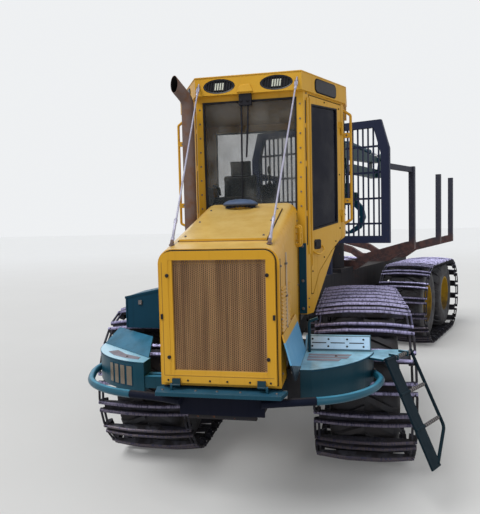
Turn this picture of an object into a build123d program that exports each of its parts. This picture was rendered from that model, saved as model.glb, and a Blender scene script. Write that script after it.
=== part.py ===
from build123d import *
import os
from math import atan2, cos, degrees, hypot, pi, radians, sin

os.makedirs("parts", exist_ok=True)

# A forestry forwarder on four bogie tracks, in millimetres, +Z up, its front towards -Y.
# The front unit is drawn with x = 0 on its middle, y = 0 at the bonnet's front and z = 0 on the ground.
# The rear unit is drawn straight behind the steering pivot, with y = 0 on the pivot, and is then turned.
BOX_CENTRE_X = 846
BOX_CENTRE_Y = 4813
PIVOT_Y = 4350
TURN = 20

# Running gear
TYRE_RADIUS = 667.5
TYRE_WIDTH = 600
RIM_RADIUS = 337
WHEEL_X = 980
BOGIE_BASE = 1500
FRONT_BOGIE_Y = 2450
REAR_BOGIE_Y = 3750
TRACK_WIDTH = 850
TRACK_GAP = 0.5
LINK_THICK = 24
SHOE_HEIGHT = 62
SHOE_END_HEIGHT = 30
SHOE_FLAT = 350
SHOE_LENGTH = 120
SHOE_COUNT = 28
FIRST_SHOE = 107
AXLE_Z = TYRE_RADIUS + TRACK_GAP + SHOE_HEIGHT
BOGIE_CASE_IN = 380
BOGIE_CASE_OUT = 520
BOGIE_CASE_RADIUS = 165
AXLE_TOP = 900

# Frames
FRAME_HALF = 300
FRAME_WALL = 60
FRAME_TOP = 1100
FRONT_FRAME_END = 4060
BEAM_HALF = 230
BEAM_LOW = 1000
BEAM_TOP = 1400
REAR_FRAME_START = 360
REAR_FRAME_END = 5500

# Bonnet
HOOD_HALF = 420
HOOD_REAR = 1290
HOOD_LOW = 1145
HOOD_FRONT_TOP = 2085
HOOD_SLOPE = 0.26
HOOD_ROUND = 100
HOOD_WALL = 12
LID_HALF = 316
LID_FRONT = 165
LID_REAR = 1050
LID_THICK = 18
GRILLE_HALF = 395
GRILLE_LOW = 1172
GRILLE_TOP = 2072
GRILLE_THICK = 40
GRILLE_FRAME = 60
GRILLE_GAP = 0.5
HOLE_COLUMNS = 11
HOLE_ROWS = 8

# Cab
CAB_FRONT = 1330
CAB_FRONT_HALF = 485
CAB_HALF = 820
CAB_KNEE = 2000
CAB_REAR = 2900
CAB_WALL = 45
CAB_LOW_FRONT = 1420
CAB_LOW = 2090
CAB_TOP = 3395
ROOF_TOP = 3560
ROOF_FRONT = 1270
ROOF_LIP = 25
GLASS_THICK = 8

# What slides or turns on a pin runs with this much room
FIT = 0.5


def block(x0, x1, y0, y1, z0, z1):
    """A box given by its two corners."""
    size = Box(x1 - x0, y1 - y0, z1 - z0)
    return Pos((x0 + x1) / 2, (y0 + y1) / 2, (z0 + z1) / 2) * size


def side_cut(points, x0, x1):
    """A prism along X from an outline of (y, z) points."""
    face = make_face(Polyline(*[(x0, y, z) for y, z in points], close=True))
    return extrude(face, amount=x1 - x0, dir=(1, 0, 0))


def plan_cut(points, z0, z1):
    """A prism along Z from an outline of (x, y) points."""
    face = make_face(Polyline(*[(x, y, z0) for x, y in points], close=True))
    return extrude(face, amount=z1 - z0, dir=(0, 0, 1))


def front_cut(points, y0, y1):
    """A prism along Y from an outline of (x, z) points."""
    face = make_face(Polyline(*[(x, y0, z) for x, z in points], close=True))
    return extrude(face, amount=y1 - y0, dir=(0, 1, 0))


def bar(start, end, diameter):
    """A round bar between two points."""
    run = Vector(*end) - Vector(*start)
    return Plane(origin=start, z_dir=run) * Cylinder(
        diameter / 2, run.length, align=(Align.CENTER, Align.CENTER, Align.MIN)
    )


def pipe(points, diameter, radius):
    """A round tube, drawn solid, along straight runs joined by arcs."""
    path = FilletPolyline(*points, radius=radius)
    section = Plane(origin=path @ 0, z_dir=path % 0) * Circle(diameter / 2)
    return sweep(section, path=path)


def across(x0, x1, y, z, radius):
    """A round bar along X."""
    return bar((x0, y, z), (x1, y, z), 2 * radius)


def mirrored(shape):
    """The shape's twin on the other side of x = 0."""
    return mirror(shape, about=Plane.YZ)


def fused(pieces):
    """One solid from pieces that meet or overlap."""
    whole = pieces[0]
    for piece in pieces[1:]:
        whole = whole + piece
    return whole


FRONT = Pos(-BOX_CENTRE_X, -BOX_CENTRE_Y, 0)
REAR = FRONT * Pos(0, PIVOT_Y, 0) * Rot(0, 0, -TURN)


def keep(name, pieces, place=FRONT):
    """Writes one node, from one shape or from a list of solids that don't touch."""
    if isinstance(pieces, list):
        solids = [solid for piece in pieces for solid in piece.solids()]
    else:
        solids = pieces.solids()
    shape = Compound(children=[place * solid for solid in solids]) if len(solids) > 1 else place * solids[0]
    export_step(shape, f"parts/{name}.step")


# Wheels: a tyre and a dished rim with its hub, for the side where +x is outwards.
tyre_outline = [
    (RIM_RADIUS, -280), (590, -TYRE_WIDTH / 2), (TYRE_RADIUS, -235),
    (TYRE_RADIUS, 235), (590, TYRE_WIDTH / 2), (RIM_RADIUS, 280),
]
tyre = revolve(make_face(Polyline(*[(x, 0, r) for r, x in tyre_outline], close=True)), axis=Axis.X)

DISC_X = 60
HUB_RADIUS = 130
rim_outline = [
    (0, 150), (HUB_RADIUS - 20, 150), (HUB_RADIUS, 120), (HUB_RADIUS, DISC_X + 20), (250, DISC_X + 20),
    (315, DISC_X + 70), (322, 285), (RIM_RADIUS, 285), (RIM_RADIUS, -285), (322, -285), (305, DISC_X),
    (0, DISC_X),
]
rim = revolve(make_face(Polyline(*[(x, 0, r) for r, x in rim_outline], close=True)), axis=Axis.X)


def on_wheels(shape, bogie_y):
    """A copy of a wheel piece at each of a bogie axle's four wheels."""
    places = []
    for y in (bogie_y - BOGIE_BASE / 2, bogie_y + BOGIE_BASE / 2):
        right = Pos(WHEEL_X, y, AXLE_Z) * shape
        places += [right, mirrored(right)]
    return places


def track_station(along):
    """The place (y, z) and turn of a point on the track's loop, from the front wheel's foot backwards."""
    radius = TYRE_RADIUS + TRACK_GAP
    half = BOGIE_BASE / 2
    turn = pi * radius
    if along < BOGIE_BASE:
        return half - along, -radius, 180
    along -= BOGIE_BASE
    if along < turn:
        angle = along / radius
        return -half - radius * sin(angle), -radius * cos(angle), 180 - degrees(angle)
    along -= turn
    if along < BOGIE_BASE:
        return -half + along, radius, 0
    along -= BOGIE_BASE
    angle = along / radius
    return half + radius * sin(angle), radius * cos(angle), -degrees(angle)


def track():
    """One loop of cross shoes on two side chains, centred on the bogie."""
    half = TRACK_WIDTH / 2
    shoe_outline = [
        (-half, 0), (half, 0), (half, SHOE_END_HEIGHT), (SHOE_FLAT / 2, SHOE_HEIGHT),
        (-SHOE_FLAT / 2, SHOE_HEIGHT), (-half, SHOE_END_HEIGHT),
    ]
    shoe = front_cut(shoe_outline, -SHOE_LENGTH / 2, SHOE_LENGTH / 2)
    loop = 2 * BOGIE_BASE + 2 * pi * (TYRE_RADIUS + TRACK_GAP)
    pitch = loop / SHOE_COUNT
    shoes = []
    inner = []
    outer = []
    for index in range(SHOE_COUNT):
        y, z, turn = track_station(FIRST_SHOE + index * pitch)
        shoes.append(Pos(0, y, z) * Rot(turn, 0, 0) * shoe)
        y, z, turn = track_station((FIRST_SHOE + (index + 0.5) * pitch) % loop)
        inner.append((y, z))
        rise = Vector(0, 0, LINK_THICK).rotate(Axis.X, turn)
        outer.append((y + rise.Y, z + rise.Z))
    chains = []
    for x0, x1 in ((-half, -half + 45), (half - 45, half)):
        chains.append(side_cut(outer, x0, x1) - side_cut(inner, x0, x1))
    return chains[0].fuse(chains[1], *shoes)


one_track = track()
for unit, bogie_y, place in (("front", FRONT_BOGIE_Y, FRONT), ("rear", REAR_BOGIE_Y, REAR)):
    keep(f"{unit}_tyres", on_wheels(tyre, bogie_y), place)
    keep(f"{unit}_rims", on_wheels(rim, bogie_y), place)
    keep(f"{unit}_track_left", Pos(WHEEL_X, bogie_y, AXLE_Z) * one_track, place)
    keep(f"{unit}_track_right", Pos(-WHEEL_X, bogie_y, AXLE_Z) * one_track, place)

    # The axle: a beam across, a bogie case each side with a swing hub, and a stub to each wheel.
    beam = block(-BOGIE_CASE_IN, BOGIE_CASE_IN, bogie_y - 150, bogie_y + 150, AXLE_Z - 140, AXLE_TOP)
    bulge = bar((0, bogie_y - 230, AXLE_Z), (0, bogie_y + 230, AXLE_Z), 2 * BOGIE_CASE_RADIUS)
    pieces = [beam, bulge]
    for side in (-1, 1):
        ends = []
        for y in (bogie_y - BOGIE_BASE / 2, bogie_y + BOGIE_BASE / 2):
            ends.append(across(side * BOGIE_CASE_IN, side * BOGIE_CASE_OUT, y, AXLE_Z, BOGIE_CASE_RADIUS))
            ends.append(across(side * BOGIE_CASE_OUT, side * (WHEEL_X + DISC_X), y, AXLE_Z, 110))
        x0, x1 = sorted((side * BOGIE_CASE_IN, side * BOGIE_CASE_OUT))
        case = block(
            x0, x1, bogie_y - BOGIE_BASE / 2, bogie_y + BOGIE_BASE / 2,
            AXLE_Z - BOGIE_CASE_RADIUS, AXLE_Z + BOGIE_CASE_RADIUS,
        )
        hub = across(side * (BOGIE_CASE_IN - 40), side * (BOGIE_CASE_OUT + 20), bogie_y, AXLE_Z, 220)
        pieces += [case, hub] + ends
    keep(f"{unit}_axle", fused(pieces), place)


# Front frame: two rails with a nose plate, cross members, the cab's mounts and the pivot's fork.
PIVOT_PIN = 120
PIVOT_LOW = 780
PIVOT_HIGH = 1240
PIVOT_EAR = 60
pieces = []
for side in (-1, 1):
    x0, x1 = sorted((side * FRAME_HALF, side * (FRAME_HALF - FRAME_WALL)))
    rail = [
        (40, 960), (FRONT_BOGIE_Y - 500, AXLE_TOP), (3500, AXLE_TOP), (3700, PIVOT_LOW),
        (3850, PIVOT_LOW), (3850, PIVOT_HIGH), (3600, PIVOT_HIGH), (3400, FRAME_TOP), (40, FRAME_TOP),
    ]
    pieces.append(side_cut(rail, x0, x1))
inner = FRAME_HALF - FRAME_WALL
for y0, y1, z0, z1 in (
    (40, 80, 900, FRAME_TOP), (1150, 1250, 960, FRAME_TOP), (2150, 2250, AXLE_TOP, 1060),
    (2650, 2750, AXLE_TOP, 1060), (3790, 3850, PIVOT_LOW, PIVOT_HIGH),
):
    pieces.append(block(-inner, inner, y0, y1, z0, z1))
for z0 in (PIVOT_LOW, PIVOT_HIGH - PIVOT_EAR):
    ear = block(-150, 150, 3850, PIVOT_Y, z0, z0 + PIVOT_EAR)
    ear += Pos(0, PIVOT_Y, z0 + PIVOT_EAR / 2) * Cylinder(150, PIVOT_EAR)
    ear -= Pos(0, PIVOT_Y, z0 + PIVOT_EAR / 2) * Cylinder(PIVOT_PIN / 2 + FIT, PIVOT_EAR + 10)
    pieces.append(ear)
for y0, y1 in ((60, 100), (1150, 1250)):
    pieces.append(block(-HOOD_HALF, HOOD_HALF, y0, y1, FRAME_TOP, HOOD_LOW))
STEER_Z = 1010
STEER_BASE_X = 460
STEER_BASE_Y = 3650
STEER_PIN = 50
STEER_EYE = 80
for side in (-1, 1):
    for z0 in (STEER_Z - STEER_EYE / 2 - 25, STEER_Z + STEER_EYE / 2 + 5):
        x0, x1 = sorted((side * FRAME_HALF, side * STEER_BASE_X))
        lug = block(x0, x1, STEER_BASE_Y - 50, STEER_BASE_Y + 50, z0, z0 + 20)
        lug += Pos(side * STEER_BASE_X, STEER_BASE_Y, z0 + 10) * Cylinder(50, 20)
        pieces.append(lug)
    pin = Pos(side * STEER_BASE_X, STEER_BASE_Y, STEER_Z) * Cylinder(STEER_PIN / 2, STEER_EYE + 60)
    pieces.append(pin)
MOUNT_Y = 1450
for side in (-1, 1):
    x0, x1 = sorted((side * 180, side * FRAME_HALF))
    pieces.append(block(x0, x1, MOUNT_Y - 60, MOUNT_Y + 60, FRAME_TOP, CAB_LOW_FRONT))
    pieces.append(block(x0, x1, 2640, 2760, FRAME_TOP, CAB_LOW))
keep("front_frame", fused(pieces))

# Engine, a plain block, and the radiator behind the grille
keep("engine", block(-270, 270, 260, 1080, FRAME_TOP, 1880))
keep("radiator", block(-360, 360, 100, 200, FRAME_TOP, 2000))

# Bonnet shell: sloping top, rounded shoulders, louvres in both sides
def hood_z(y):
    return HOOD_FRONT_TOP + HOOD_SLOPE * y


def hood_body(inset):
    outline = [
        (inset, HOOD_LOW), (HOOD_REAR - inset, HOOD_LOW),
        (HOOD_REAR - inset, hood_z(HOOD_REAR) - inset), (inset, hood_z(0) - inset),
    ]
    body = side_cut(outline, -HOOD_HALF + inset, HOOD_HALF - inset)
    top = body.faces().sort_by(Axis.Z)[-1]
    edges = [edge for edge in top.edges() if abs(edge.center().X) > HOOD_HALF / 2]
    return fillet(edges, HOOD_ROUND - inset)


hood = hood_body(0) - Pos(0, 0, -HOOD_WALL) * hood_body(HOOD_WALL)
hood -= block(-GRILLE_HALF + 50, GRILLE_HALF - 50, -5, 60, GRILLE_LOW + 40, GRILLE_TOP - 90)
hood -= block(-LID_HALF + 40, LID_HALF - 40, LID_FRONT + 40, LID_REAR - 30, 1950, 2500)
LOUVRE_ROWS = 12
LOUVRE_PITCH = 26
LOUVRE_LOW = 1500
LOUVRE_SLOT = 10
for side in (-1, 1):
    for y0 in (90, 350):
        for row in range(LOUVRE_ROWS):
            z0 = LOUVRE_LOW + row * LOUVRE_PITCH
            x0, x1 = sorted((side * (HOOD_HALF - 30), side * (HOOD_HALF + 10)))
            hood -= block(x0, x1, y0, y0 + 200, z0, z0 + LOUVRE_SLOT)
keep("hood_shell", hood)

lid = side_cut(
    [(LID_FRONT, hood_z(LID_FRONT)), (LID_REAR, hood_z(LID_REAR)),
     (LID_REAR, hood_z(LID_REAR) + LID_THICK), (LID_FRONT, hood_z(LID_FRONT) + LID_THICK)],
    -LID_HALF, LID_HALF,
)
keep("hood_top_panel", lid)

# Grille door: a rounded frame, and the perforated sheet it holds
DOOR_FRONT = -GRILLE_GAP - GRILLE_THICK
grille_z = (GRILLE_LOW + GRILLE_TOP) / 2
grille_height = GRILLE_TOP - GRILLE_LOW
grille_plane = Plane(origin=(0, -GRILLE_GAP, grille_z), x_dir=(1, 0, 0), z_dir=(0, -1, 0))
door_face = Rectangle(2 * GRILLE_HALF, grille_height)
door_face = fillet(door_face.vertices().sort_by(Axis.Y)[-2:], 80)
door_hole = Rectangle(2 * (GRILLE_HALF - GRILLE_FRAME), grille_height - 2 * GRILLE_FRAME)
grille_door = extrude(grille_plane * (door_face - door_hole), GRILLE_THICK)
GRILLE_HINGE_Y = DOOR_FRONT - 12
GRILLE_HINGE_Z = 1160
HINGE_TAB = (267, 323)
for side in (-1, 1):
    x0, x1 = sorted((side * HINGE_TAB[0], side * HINGE_TAB[1]))
    grille_door += block(x0, x1, GRILLE_HINGE_Y - 6, DOOR_FRONT, GRILLE_HINGE_Z, GRILLE_HINGE_Z + 45)
    grille_door += across(x0, x1, GRILLE_HINGE_Y, GRILLE_HINGE_Z, 9)
keep("grille_door", grille_door)

sheet_half = GRILLE_HALF - GRILLE_FRAME
sheet_height = grille_height - 2 * GRILLE_FRAME
sheet = Rectangle(2 * sheet_half, sheet_height)
column = 2 * sheet_half / HOLE_COLUMNS
row = sheet_height / HOLE_ROWS
sheet -= GridLocations(column, row, HOLE_COLUMNS, HOLE_ROWS) * Rectangle(column * 0.55, row * 0.7)
keep("grille_sheet", extrude(grille_plane.offset(15) * sheet, 6))

# Left fender, with its step and sloping tread
STEP_TOP = 1200
SKIRT = 230
FENDER_WALL = 12


def step_prism(outline, top):
    return Pos(0, 0, top - SKIRT) * extrude(make_face(outline), amount=SKIRT, dir=(0, 0, 1))


def fender_step(outline, top):
    """A step plate with a skirt all round, open underneath."""
    inner = offset(make_face(outline), -FENDER_WALL, kind=Kind.INTERSECTION)
    room = extrude(inner, amount=SKIRT - FENDER_WALL, dir=(0, 0, 1))
    return step_prism(outline, top) - Pos(0, 0, top - SKIRT) * room


left_outline = Curve() + [
    Line((460, 270), (600, 285)),
    ThreePointArc((600, 285), (905, 545), (1050, 880)),
    Line((1050, 880), (460, 887)),
    Line((460, 887), (460, 270)),
]
left_step = fender_step(left_outline, STEP_TOP)
tread_outline = [
    (880, STEP_TOP - 12), (870, STEP_TOP), (995, 1300), (1040, 1300), (1040, 1288), (1000, 1288),
]
tread = side_cut(tread_outline, 505, 1030)
left_skirt = front_cut([(424, 1500), (434, 1504), (517, STEP_TOP - 6), (505, STEP_TOP - 6)], 20, 860)
left_hook = pipe([(545, 830, STEP_TOP - 6), (545, 830, 1450), (615, 830, 1475)], 24, 20)
LADDER_YAW = 58
LADDER_LEAN = 26
LADDER_WIDTH = 413
LADDER_X = 1240
LADDER_Y = 825
LADDER_Z = 1185
LADDER_BAR = 26
bracket_plan = [(-190, 30), (190, 30), (190, 90), (60, 250), (-190, 330)]
ladder_plate = plan_cut(bracket_plan, -13, 3)
for x in (-45, 115):
    ladder_plate += block(x - 8, x + 8, -22, 60, -20, 20)
    ladder_plate -= across(x - 20, x + 20, 0, 0, LADDER_BAR / 2 + FIT)
ladder_plate = Pos(LADDER_X, LADDER_Y, LADDER_Z) * Rot(0, 0, LADDER_YAW) * ladder_plate
left_bracket = fused([
    ladder_plate,
    block(FRAME_HALF, 475, 420, 480, 1000, 1090),
    block(FRAME_HALF, 475, 720, 780, 1000, 1090),
])
keep("fender_left", fused([left_step, tread, left_skirt, left_hook, left_bracket]))

# Right fender: the same step on a longer sweep, with a sloping cover behind it
right_outline = Curve() + [
    Line((-690, 350), (-760, 360)),
    ThreePointArc((-760, 360), (-1120, 580), (-1300, 1000)),
    Line((-1300, 1000), (-690, 500)),
    Line((-690, 500), (-690, 350)),
]
right_step = fender_step(right_outline, STEP_TOP)
cover_lean = atan2(100, 177)
line = Vector(-610, 500, 0).normalized()
back = Vector(500, 610, 0).normalized()
rise = back * cos(cover_lean) + Vector(0, 0, sin(cover_lean))
cover_place = Plane(origin=(-690, 500, STEP_TOP), x_dir=line, z_dir=line.cross(rise))
cover_outline = [(2, -10), (770, -10), (856, 203), (247, 203)]
cover_face = make_face(Polyline(*[(u, v) for u, v in cover_outline], close=True))
cover = cover_place.offset(-FENDER_WALL) * extrude(cover_face, FENDER_WALL)
right_bracket = fused([
    block(-700, -FRAME_HALF, 360, 410, 1000, 1090),
    block(-700, -FRAME_HALF, 440, 490, 1000, 1090),
])
keep("fender_right", fused([right_step, cover, right_bracket]))

# Front bumper: a folded plate under the bonnet and a guard tube round each fender
PLATE_TOP = 1120
GUARD_Z = 1035
GUARD = 58
plate_plan = [(-460, 20), (-430, -110), (430, -110), (460, 20), (300, 60), (-300, 60)]
plate = plan_cut(plate_plan, FRAME_TOP, PLATE_TOP)
plate += plan_cut([(-430, -110), (430, -110), (440, -90), (-440, -90)], 1075, PLATE_TOP)
plate += block(-300, 300, 20, 40, 930, PLATE_TOP)
right_guard = [(-280, -12, GUARD_Z), (-480, 60, GUARD_Z), (-860, 130, GUARD_Z), (-1150, 340, GUARD_Z),
               (-1290, 700, GUARD_Z), (-1250, 985, GUARD_Z)]
left_guard = [(280, -12, GUARD_Z), (450, 60, GUARD_Z), (790, 200, GUARD_Z), (1010, 440, GUARD_Z),
              (1110, 700, GUARD_Z), (1050, 860, GUARD_Z)]
for side in (-1, 1):
    x0, x1 = sorted((side * (HINGE_TAB[1] + FIT), side * (HINGE_TAB[1] + 16)))
    plate += block(x0, x1, GRILLE_HINGE_Y - 9, GRILLE_HINGE_Y + 9, PLATE_TOP, GRILLE_HINGE_Z)
    plate += across(x0, x1, GRILLE_HINGE_Y, GRILLE_HINGE_Z, 9)
bumper = fused([plate, pipe(right_guard, GUARD, 110), pipe(left_guard, GUARD, 110)])
bumper -= step_prism(left_outline, STEP_TOP)
bumper -= step_prism(right_outline, STEP_TOP)
bumper = bumper.solids().sort_by(SortBy.VOLUME)[-1]
keep("bumper", bumper)

# Tool box over the right fender
box_plan = [
    (-1100, 1000), (-HOOD_HALF, 1000), (-HOOD_HALF, 1310), (-505, 1310), (-580, 1460), (-1100, 1460),
]
box_front = [(-1100, 1340), (-1100, 1617), (-HOOD_HALF, 1760), (-HOOD_HALF, 1340)]
box = plan_cut(box_plan, 1300, 1800) & front_cut(box_front, 990, 1480)
box -= side_cut([(990, 1330), (1480, 1330), (1480, 1480)], -1110, -400)
keep("tool_box", box)

# Exhaust stack, from the bonnet's right side up to its turned mouth
stack = pipe([(-HOOD_HALF, 1200, 1900), (-530, 1200, 1900), (-530, 1200, 3380), (-650, 1200, 3530)], 112, 80)
stack -= bar((-567, 1200, 3427), (-670, 1200, 3555), 96)
keep("exhaust_stack", stack)

# Air intake with its rain cap
low = hood_z(1120)
intake_outline = [(0, low), (60, low), (60, 2440), (172, 2440), (175, 2462), (110, 2490), (0, 2498)]
intake = revolve(make_face(Polyline(*[(r, 0, z) for r, z in intake_outline], close=True)), axis=Axis.Z)
intake = Pos(-30, 1120, 0) * intake - hood_body(0)
keep("air_intake", intake)


# Cab: a hollow shell, narrow in front, with splayed sides that carry the door and its twin window
def cab_plan(inset):
    return [
        (-CAB_FRONT_HALF + inset * 0.8, CAB_FRONT + inset), (CAB_FRONT_HALF - inset * 0.8, CAB_FRONT + inset),
        (CAB_HALF - inset, CAB_KNEE + inset * 0.25), (CAB_HALF - inset, CAB_REAR - inset),
        (-CAB_HALF + inset, CAB_REAR - inset), (-CAB_HALF + inset, CAB_KNEE + inset * 0.25),
    ]


def cab_side(inset):
    return [
        (CAB_FRONT - 10, CAB_LOW_FRONT + inset), (1440, CAB_LOW_FRONT + inset), (1840, CAB_LOW - 60 + inset),
        (CAB_KNEE, CAB_LOW + inset), (CAB_REAR + 10, CAB_LOW + inset), (CAB_REAR + 10, CAB_TOP + inset),
        (CAB_FRONT - 10, CAB_TOP + inset),
    ]


cab = plan_cut(cab_plan(0), 1000, CAB_TOP) & side_cut(cab_side(0), -1000, 1000)
cab -= plan_cut(cab_plan(CAB_WALL), 1000, CAB_TOP + 50) & side_cut(cab_side(CAB_WALL), -1000, 1000)

# The splayed side as a plane of its own: s runs back along it from the front corner, z is up.
splay_angle = degrees(atan2(CAB_KNEE - CAB_FRONT, CAB_HALF - CAB_FRONT_HALF))
SPLAY_LENGTH = hypot(CAB_KNEE - CAB_FRONT, CAB_HALF - CAB_FRONT_HALF)
splay_along = (cos(radians(splay_angle)), sin(radians(splay_angle)), 0)
splay_out = (sin(radians(splay_angle)), -cos(radians(splay_angle)), 0)
splay = Plane(origin=(CAB_FRONT_HALF, CAB_FRONT, 0), x_dir=splay_along, z_dir=splay_out)


def on_splay(points, depth_in, depth_out):
    """A prism through the splayed wall from (s, z) points, from one depth inside it to one outside it."""
    face = make_face(Polyline(*[(s, z) for s, z in points], close=True))
    return splay.offset(-depth_in) * extrude(face, amount=depth_in + depth_out)


DOOR_GAP = 6
door_outline = [(95, 1600), (125, 1600), (235, 1790), (470, 1965), (690, 2090), (690, 3370), (95, 3370)]
glass_outline = [(135, 2170), (610, 2235), (610, 3325), (135, 3300)]
gap_outline = [(85, 1590), (131, 1590), (241, 1782), (474, 1956), (696, 2082), (696, 3380), (85, 3380)]
cab -= on_splay(gap_outline, 80, 30)
cab -= mirrored(on_splay(glass_outline, 80, 30))
windshield = [(-416, 2350), (416, 2350), (424, 3345), (-424, 3345)]
cab -= front_cut(windshield, CAB_FRONT - 20, CAB_FRONT + 80)
SIDE_WINDOW = (2110, 2790, 2380, 3320)
REAR_WINDOW = (-690, 690, 2330, 3320)
cab -= block(-1000, 1000, *SIDE_WINDOW)
HINGE_S = 693
HINGE_OUT = 11.5
HINGE_RADIUS = 11
HINGE_Z = (2300, 3150)
door_knuckles = []
for z in HINGE_Z:
    for low, s0, s1, keeper in ((z, 655, HINGE_S, door_knuckles), (z - 60, HINGE_S, 735, None)):
        leaf = on_splay([(s0, low), (s1, low), (s1, low + 60 - FIT), (s0, low + 60 - FIT)], 0, 6)
        barrel = Rot(90, 0, 0) * Cylinder(HINGE_RADIUS, 60 - FIT)
        knuckle = splay * (Pos(HINGE_S, low + 30 - FIT / 2, HINGE_OUT) * barrel)
        if keeper is None:
            cab += leaf + knuckle
        else:
            keeper.append(leaf + knuckle)
cab -= block(REAR_WINDOW[0], REAR_WINDOW[1], CAB_REAR - 100, CAB_REAR + 20, REAR_WINDOW[2], REAR_WINDOW[3])
keep("cab_shell", cab)

# Roof with its visor, and the recesses of its lamps
roof_plan = [
    (-478, ROOF_FRONT), (478, ROOF_FRONT),
    (CAB_HALF + ROOF_LIP, CAB_KNEE), (CAB_HALF + ROOF_LIP, CAB_REAR + 30),
    (-CAB_HALF - ROOF_LIP, CAB_REAR + 30), (-CAB_HALF - ROOF_LIP, CAB_KNEE),
]
roof = plan_cut(roof_plan, CAB_TOP, ROOF_TOP)
visor_angle = degrees(atan2(CAB_KNEE - ROOF_FRONT, CAB_HALF + ROOF_LIP - 478))
LAMP_HALF_X = 145
LAMP_HALF_Z = 65
LAMP_Z = 3470
LAMP_DEPTH = 45
lamp_places = []
for x in (-256, 258):
    lamp_places.append(Plane(origin=(x, ROOF_FRONT, LAMP_Z), x_dir=(1, 0, 0), z_dir=(0, -1, 0)))
for side in (-1, 1):
    along = Vector(side * cos(radians(visor_angle)), sin(radians(visor_angle)), 0)
    out = Vector(side * sin(radians(visor_angle)), -cos(radians(visor_angle)), 0)
    corner = Vector(side * 478, ROOF_FRONT, LAMP_Z)
    spot = corner + along * 420
    lamp_places.append(Plane(origin=spot, x_dir=along, z_dir=out))
lamps = []
for place in lamp_places:
    recess = Ellipse(LAMP_HALF_X, LAMP_HALF_Z)
    roof -= place * extrude(recess, amount=-LAMP_DEPTH, both=True)
    body = place.offset(-LAMP_DEPTH) * extrude(Ellipse(LAMP_HALF_X - 4, LAMP_HALF_Z - 4), LAMP_DEPTH - 22)
    lamps.append(body)
keep("cab_roof", roof)
keep("roof_lamps", lamps)

# Cab glass, each pane just inside its opening
panes = [
    front_cut(windshield, CAB_FRONT + 12, CAB_FRONT + 12 + GLASS_THICK),
    block(REAR_WINDOW[0], REAR_WINDOW[1], CAB_REAR - 20, CAB_REAR - 12, REAR_WINDOW[2], REAR_WINDOW[3]),
]
for side in (-1, 1):
    x0, x1 = sorted((side * (CAB_HALF - 12), side * (CAB_HALF - 20)))
    panes.append(block(x0, x1, *SIDE_WINDOW))
door_pane = on_splay(glass_outline, 20, -12)
panes.append(mirrored(door_pane))
keep("cab_glass", panes)

# Cab door on the left splayed side
door = on_splay(door_outline, CAB_WALL - 5, 0) - on_splay(glass_outline, CAB_WALL + 10, 10)
keep("cab_door", fused([door] + door_knuckles))
keep("door_glass", door_pane)

# Driver's seat, right of the middle, and the console on each side of it
SEAT_X = -300
CAB_FLOOR = CAB_LOW + CAB_WALL
seat = fused([
    block(-90, 90, 2020, 2200, CAB_FLOOR, 2400),
    block(-250, 250, 1880, 2380, 2400, 2520),
    side_cut([(2290, 2520), (2420, 2520), (2500, 3050), (2400, 3080)], -230, 230),
])
keep("seat", Pos(SEAT_X, 0, 0) * seat)
console = front_cut([(330, CAB_FLOOR), (290, CAB_FLOOR), (290, 2640), (430, 2640), (430, 2580)], 2050, 2300)
keep("consoles", [Pos(SEAT_X, 0, 0) * console, Pos(SEAT_X, 0, 0) * mirrored(console)])

# Grab rails: one each side of the cab, and a small one on the bonnet's shoulder
rails = []
for side in (-1, 1):
    x_in = side * CAB_HALF
    x_out = side * 890
    bow = [(x_in, 2050, 3340), (x_out, 2050, 3290), (x_out, 2050, 2260), (x_in, 2050, 2225)]
    rails.append(pipe(bow, 26, 25))
    for z in (3095, 2450):
        a, b = sorted((x_in, x_out))
        rails.append(block(a, b, 2042, 2058, z - 20, z + 20))
cab_block = plan_cut(cab_plan(0), CAB_LOW, CAB_TOP)
right_rail = fused(rails[:3]) - cab_block
left_rail = fused(rails[3:]) - cab_block
low_z, high_z = 2045, 2215
shoulder = pipe([(HOOD_HALF, 1150, low_z), (HOOD_HALF + 45, 1150, low_z), (HOOD_HALF + 45, 1150, high_z),
                 (HOOD_HALF, 1150, high_z)], 22, 20)
keep("grab_rails", [left_rail, right_rail, shoulder])

# Branch deflector cables, stretched from the bonnet to the visor
stays = []
for side in (-1, 1):
    low_end = (side * 345, 90, hood_z(90) - 12)
    high_end = (side * 440, ROOF_FRONT, 3500)
    stays.append(bar(low_end, high_end, 14) - hood_body(0) - roof)
keep("branch_stays", stays)

# Wiper: its motor box under the visor, the long arm and the short one
motor_box = block(-80, 30, 1275, CAB_FRONT, 3295, CAB_TOP)
long_arm = bar((-60, 1300, 3320), (-75, 1320, 2480), 14)
short_arm = bar((0, 1300, 3320), (-30, 1320, 2840), 14)
keep("wiper", fused([motor_box, long_arm, short_arm]))

# Boarding ladder on the left fender, folded down: a plate stile, and a tube bent in under it
LADDER_LENGTH = 830
LADDER_STILE = 130
LADDER_BEND = 620
ladder_place = Pos(LADDER_X, LADDER_Y, LADDER_Z) * Rot(0, 0, LADDER_YAW) * Rot(-LADDER_LEAN, 0, 0)
stile_in = -LADDER_WIDTH / 2 + LADDER_STILE
ladder_pieces = [block(-LADDER_WIDTH / 2, stile_in, -8, 8, -LADDER_LENGTH, 20)]
tube_x = LADDER_WIDTH / 2
tube_run = [(tube_x, 0, 16), (tube_x, 0, -LADDER_BEND), (stile_in - 20, 0, -LADDER_LENGTH + 20)]
ladder_pieces.append(pipe(tube_run, LADDER_BAR, 60))
for z in (-540, -270, 0):
    ladder_pieces.append(bar((-LADDER_WIDTH / 2 + 5, 0, z), (LADDER_WIDTH / 2, 0, z), LADDER_BAR))
ladder = fused(ladder_pieces)
keep("ladder", ladder_place * ladder)


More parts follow.
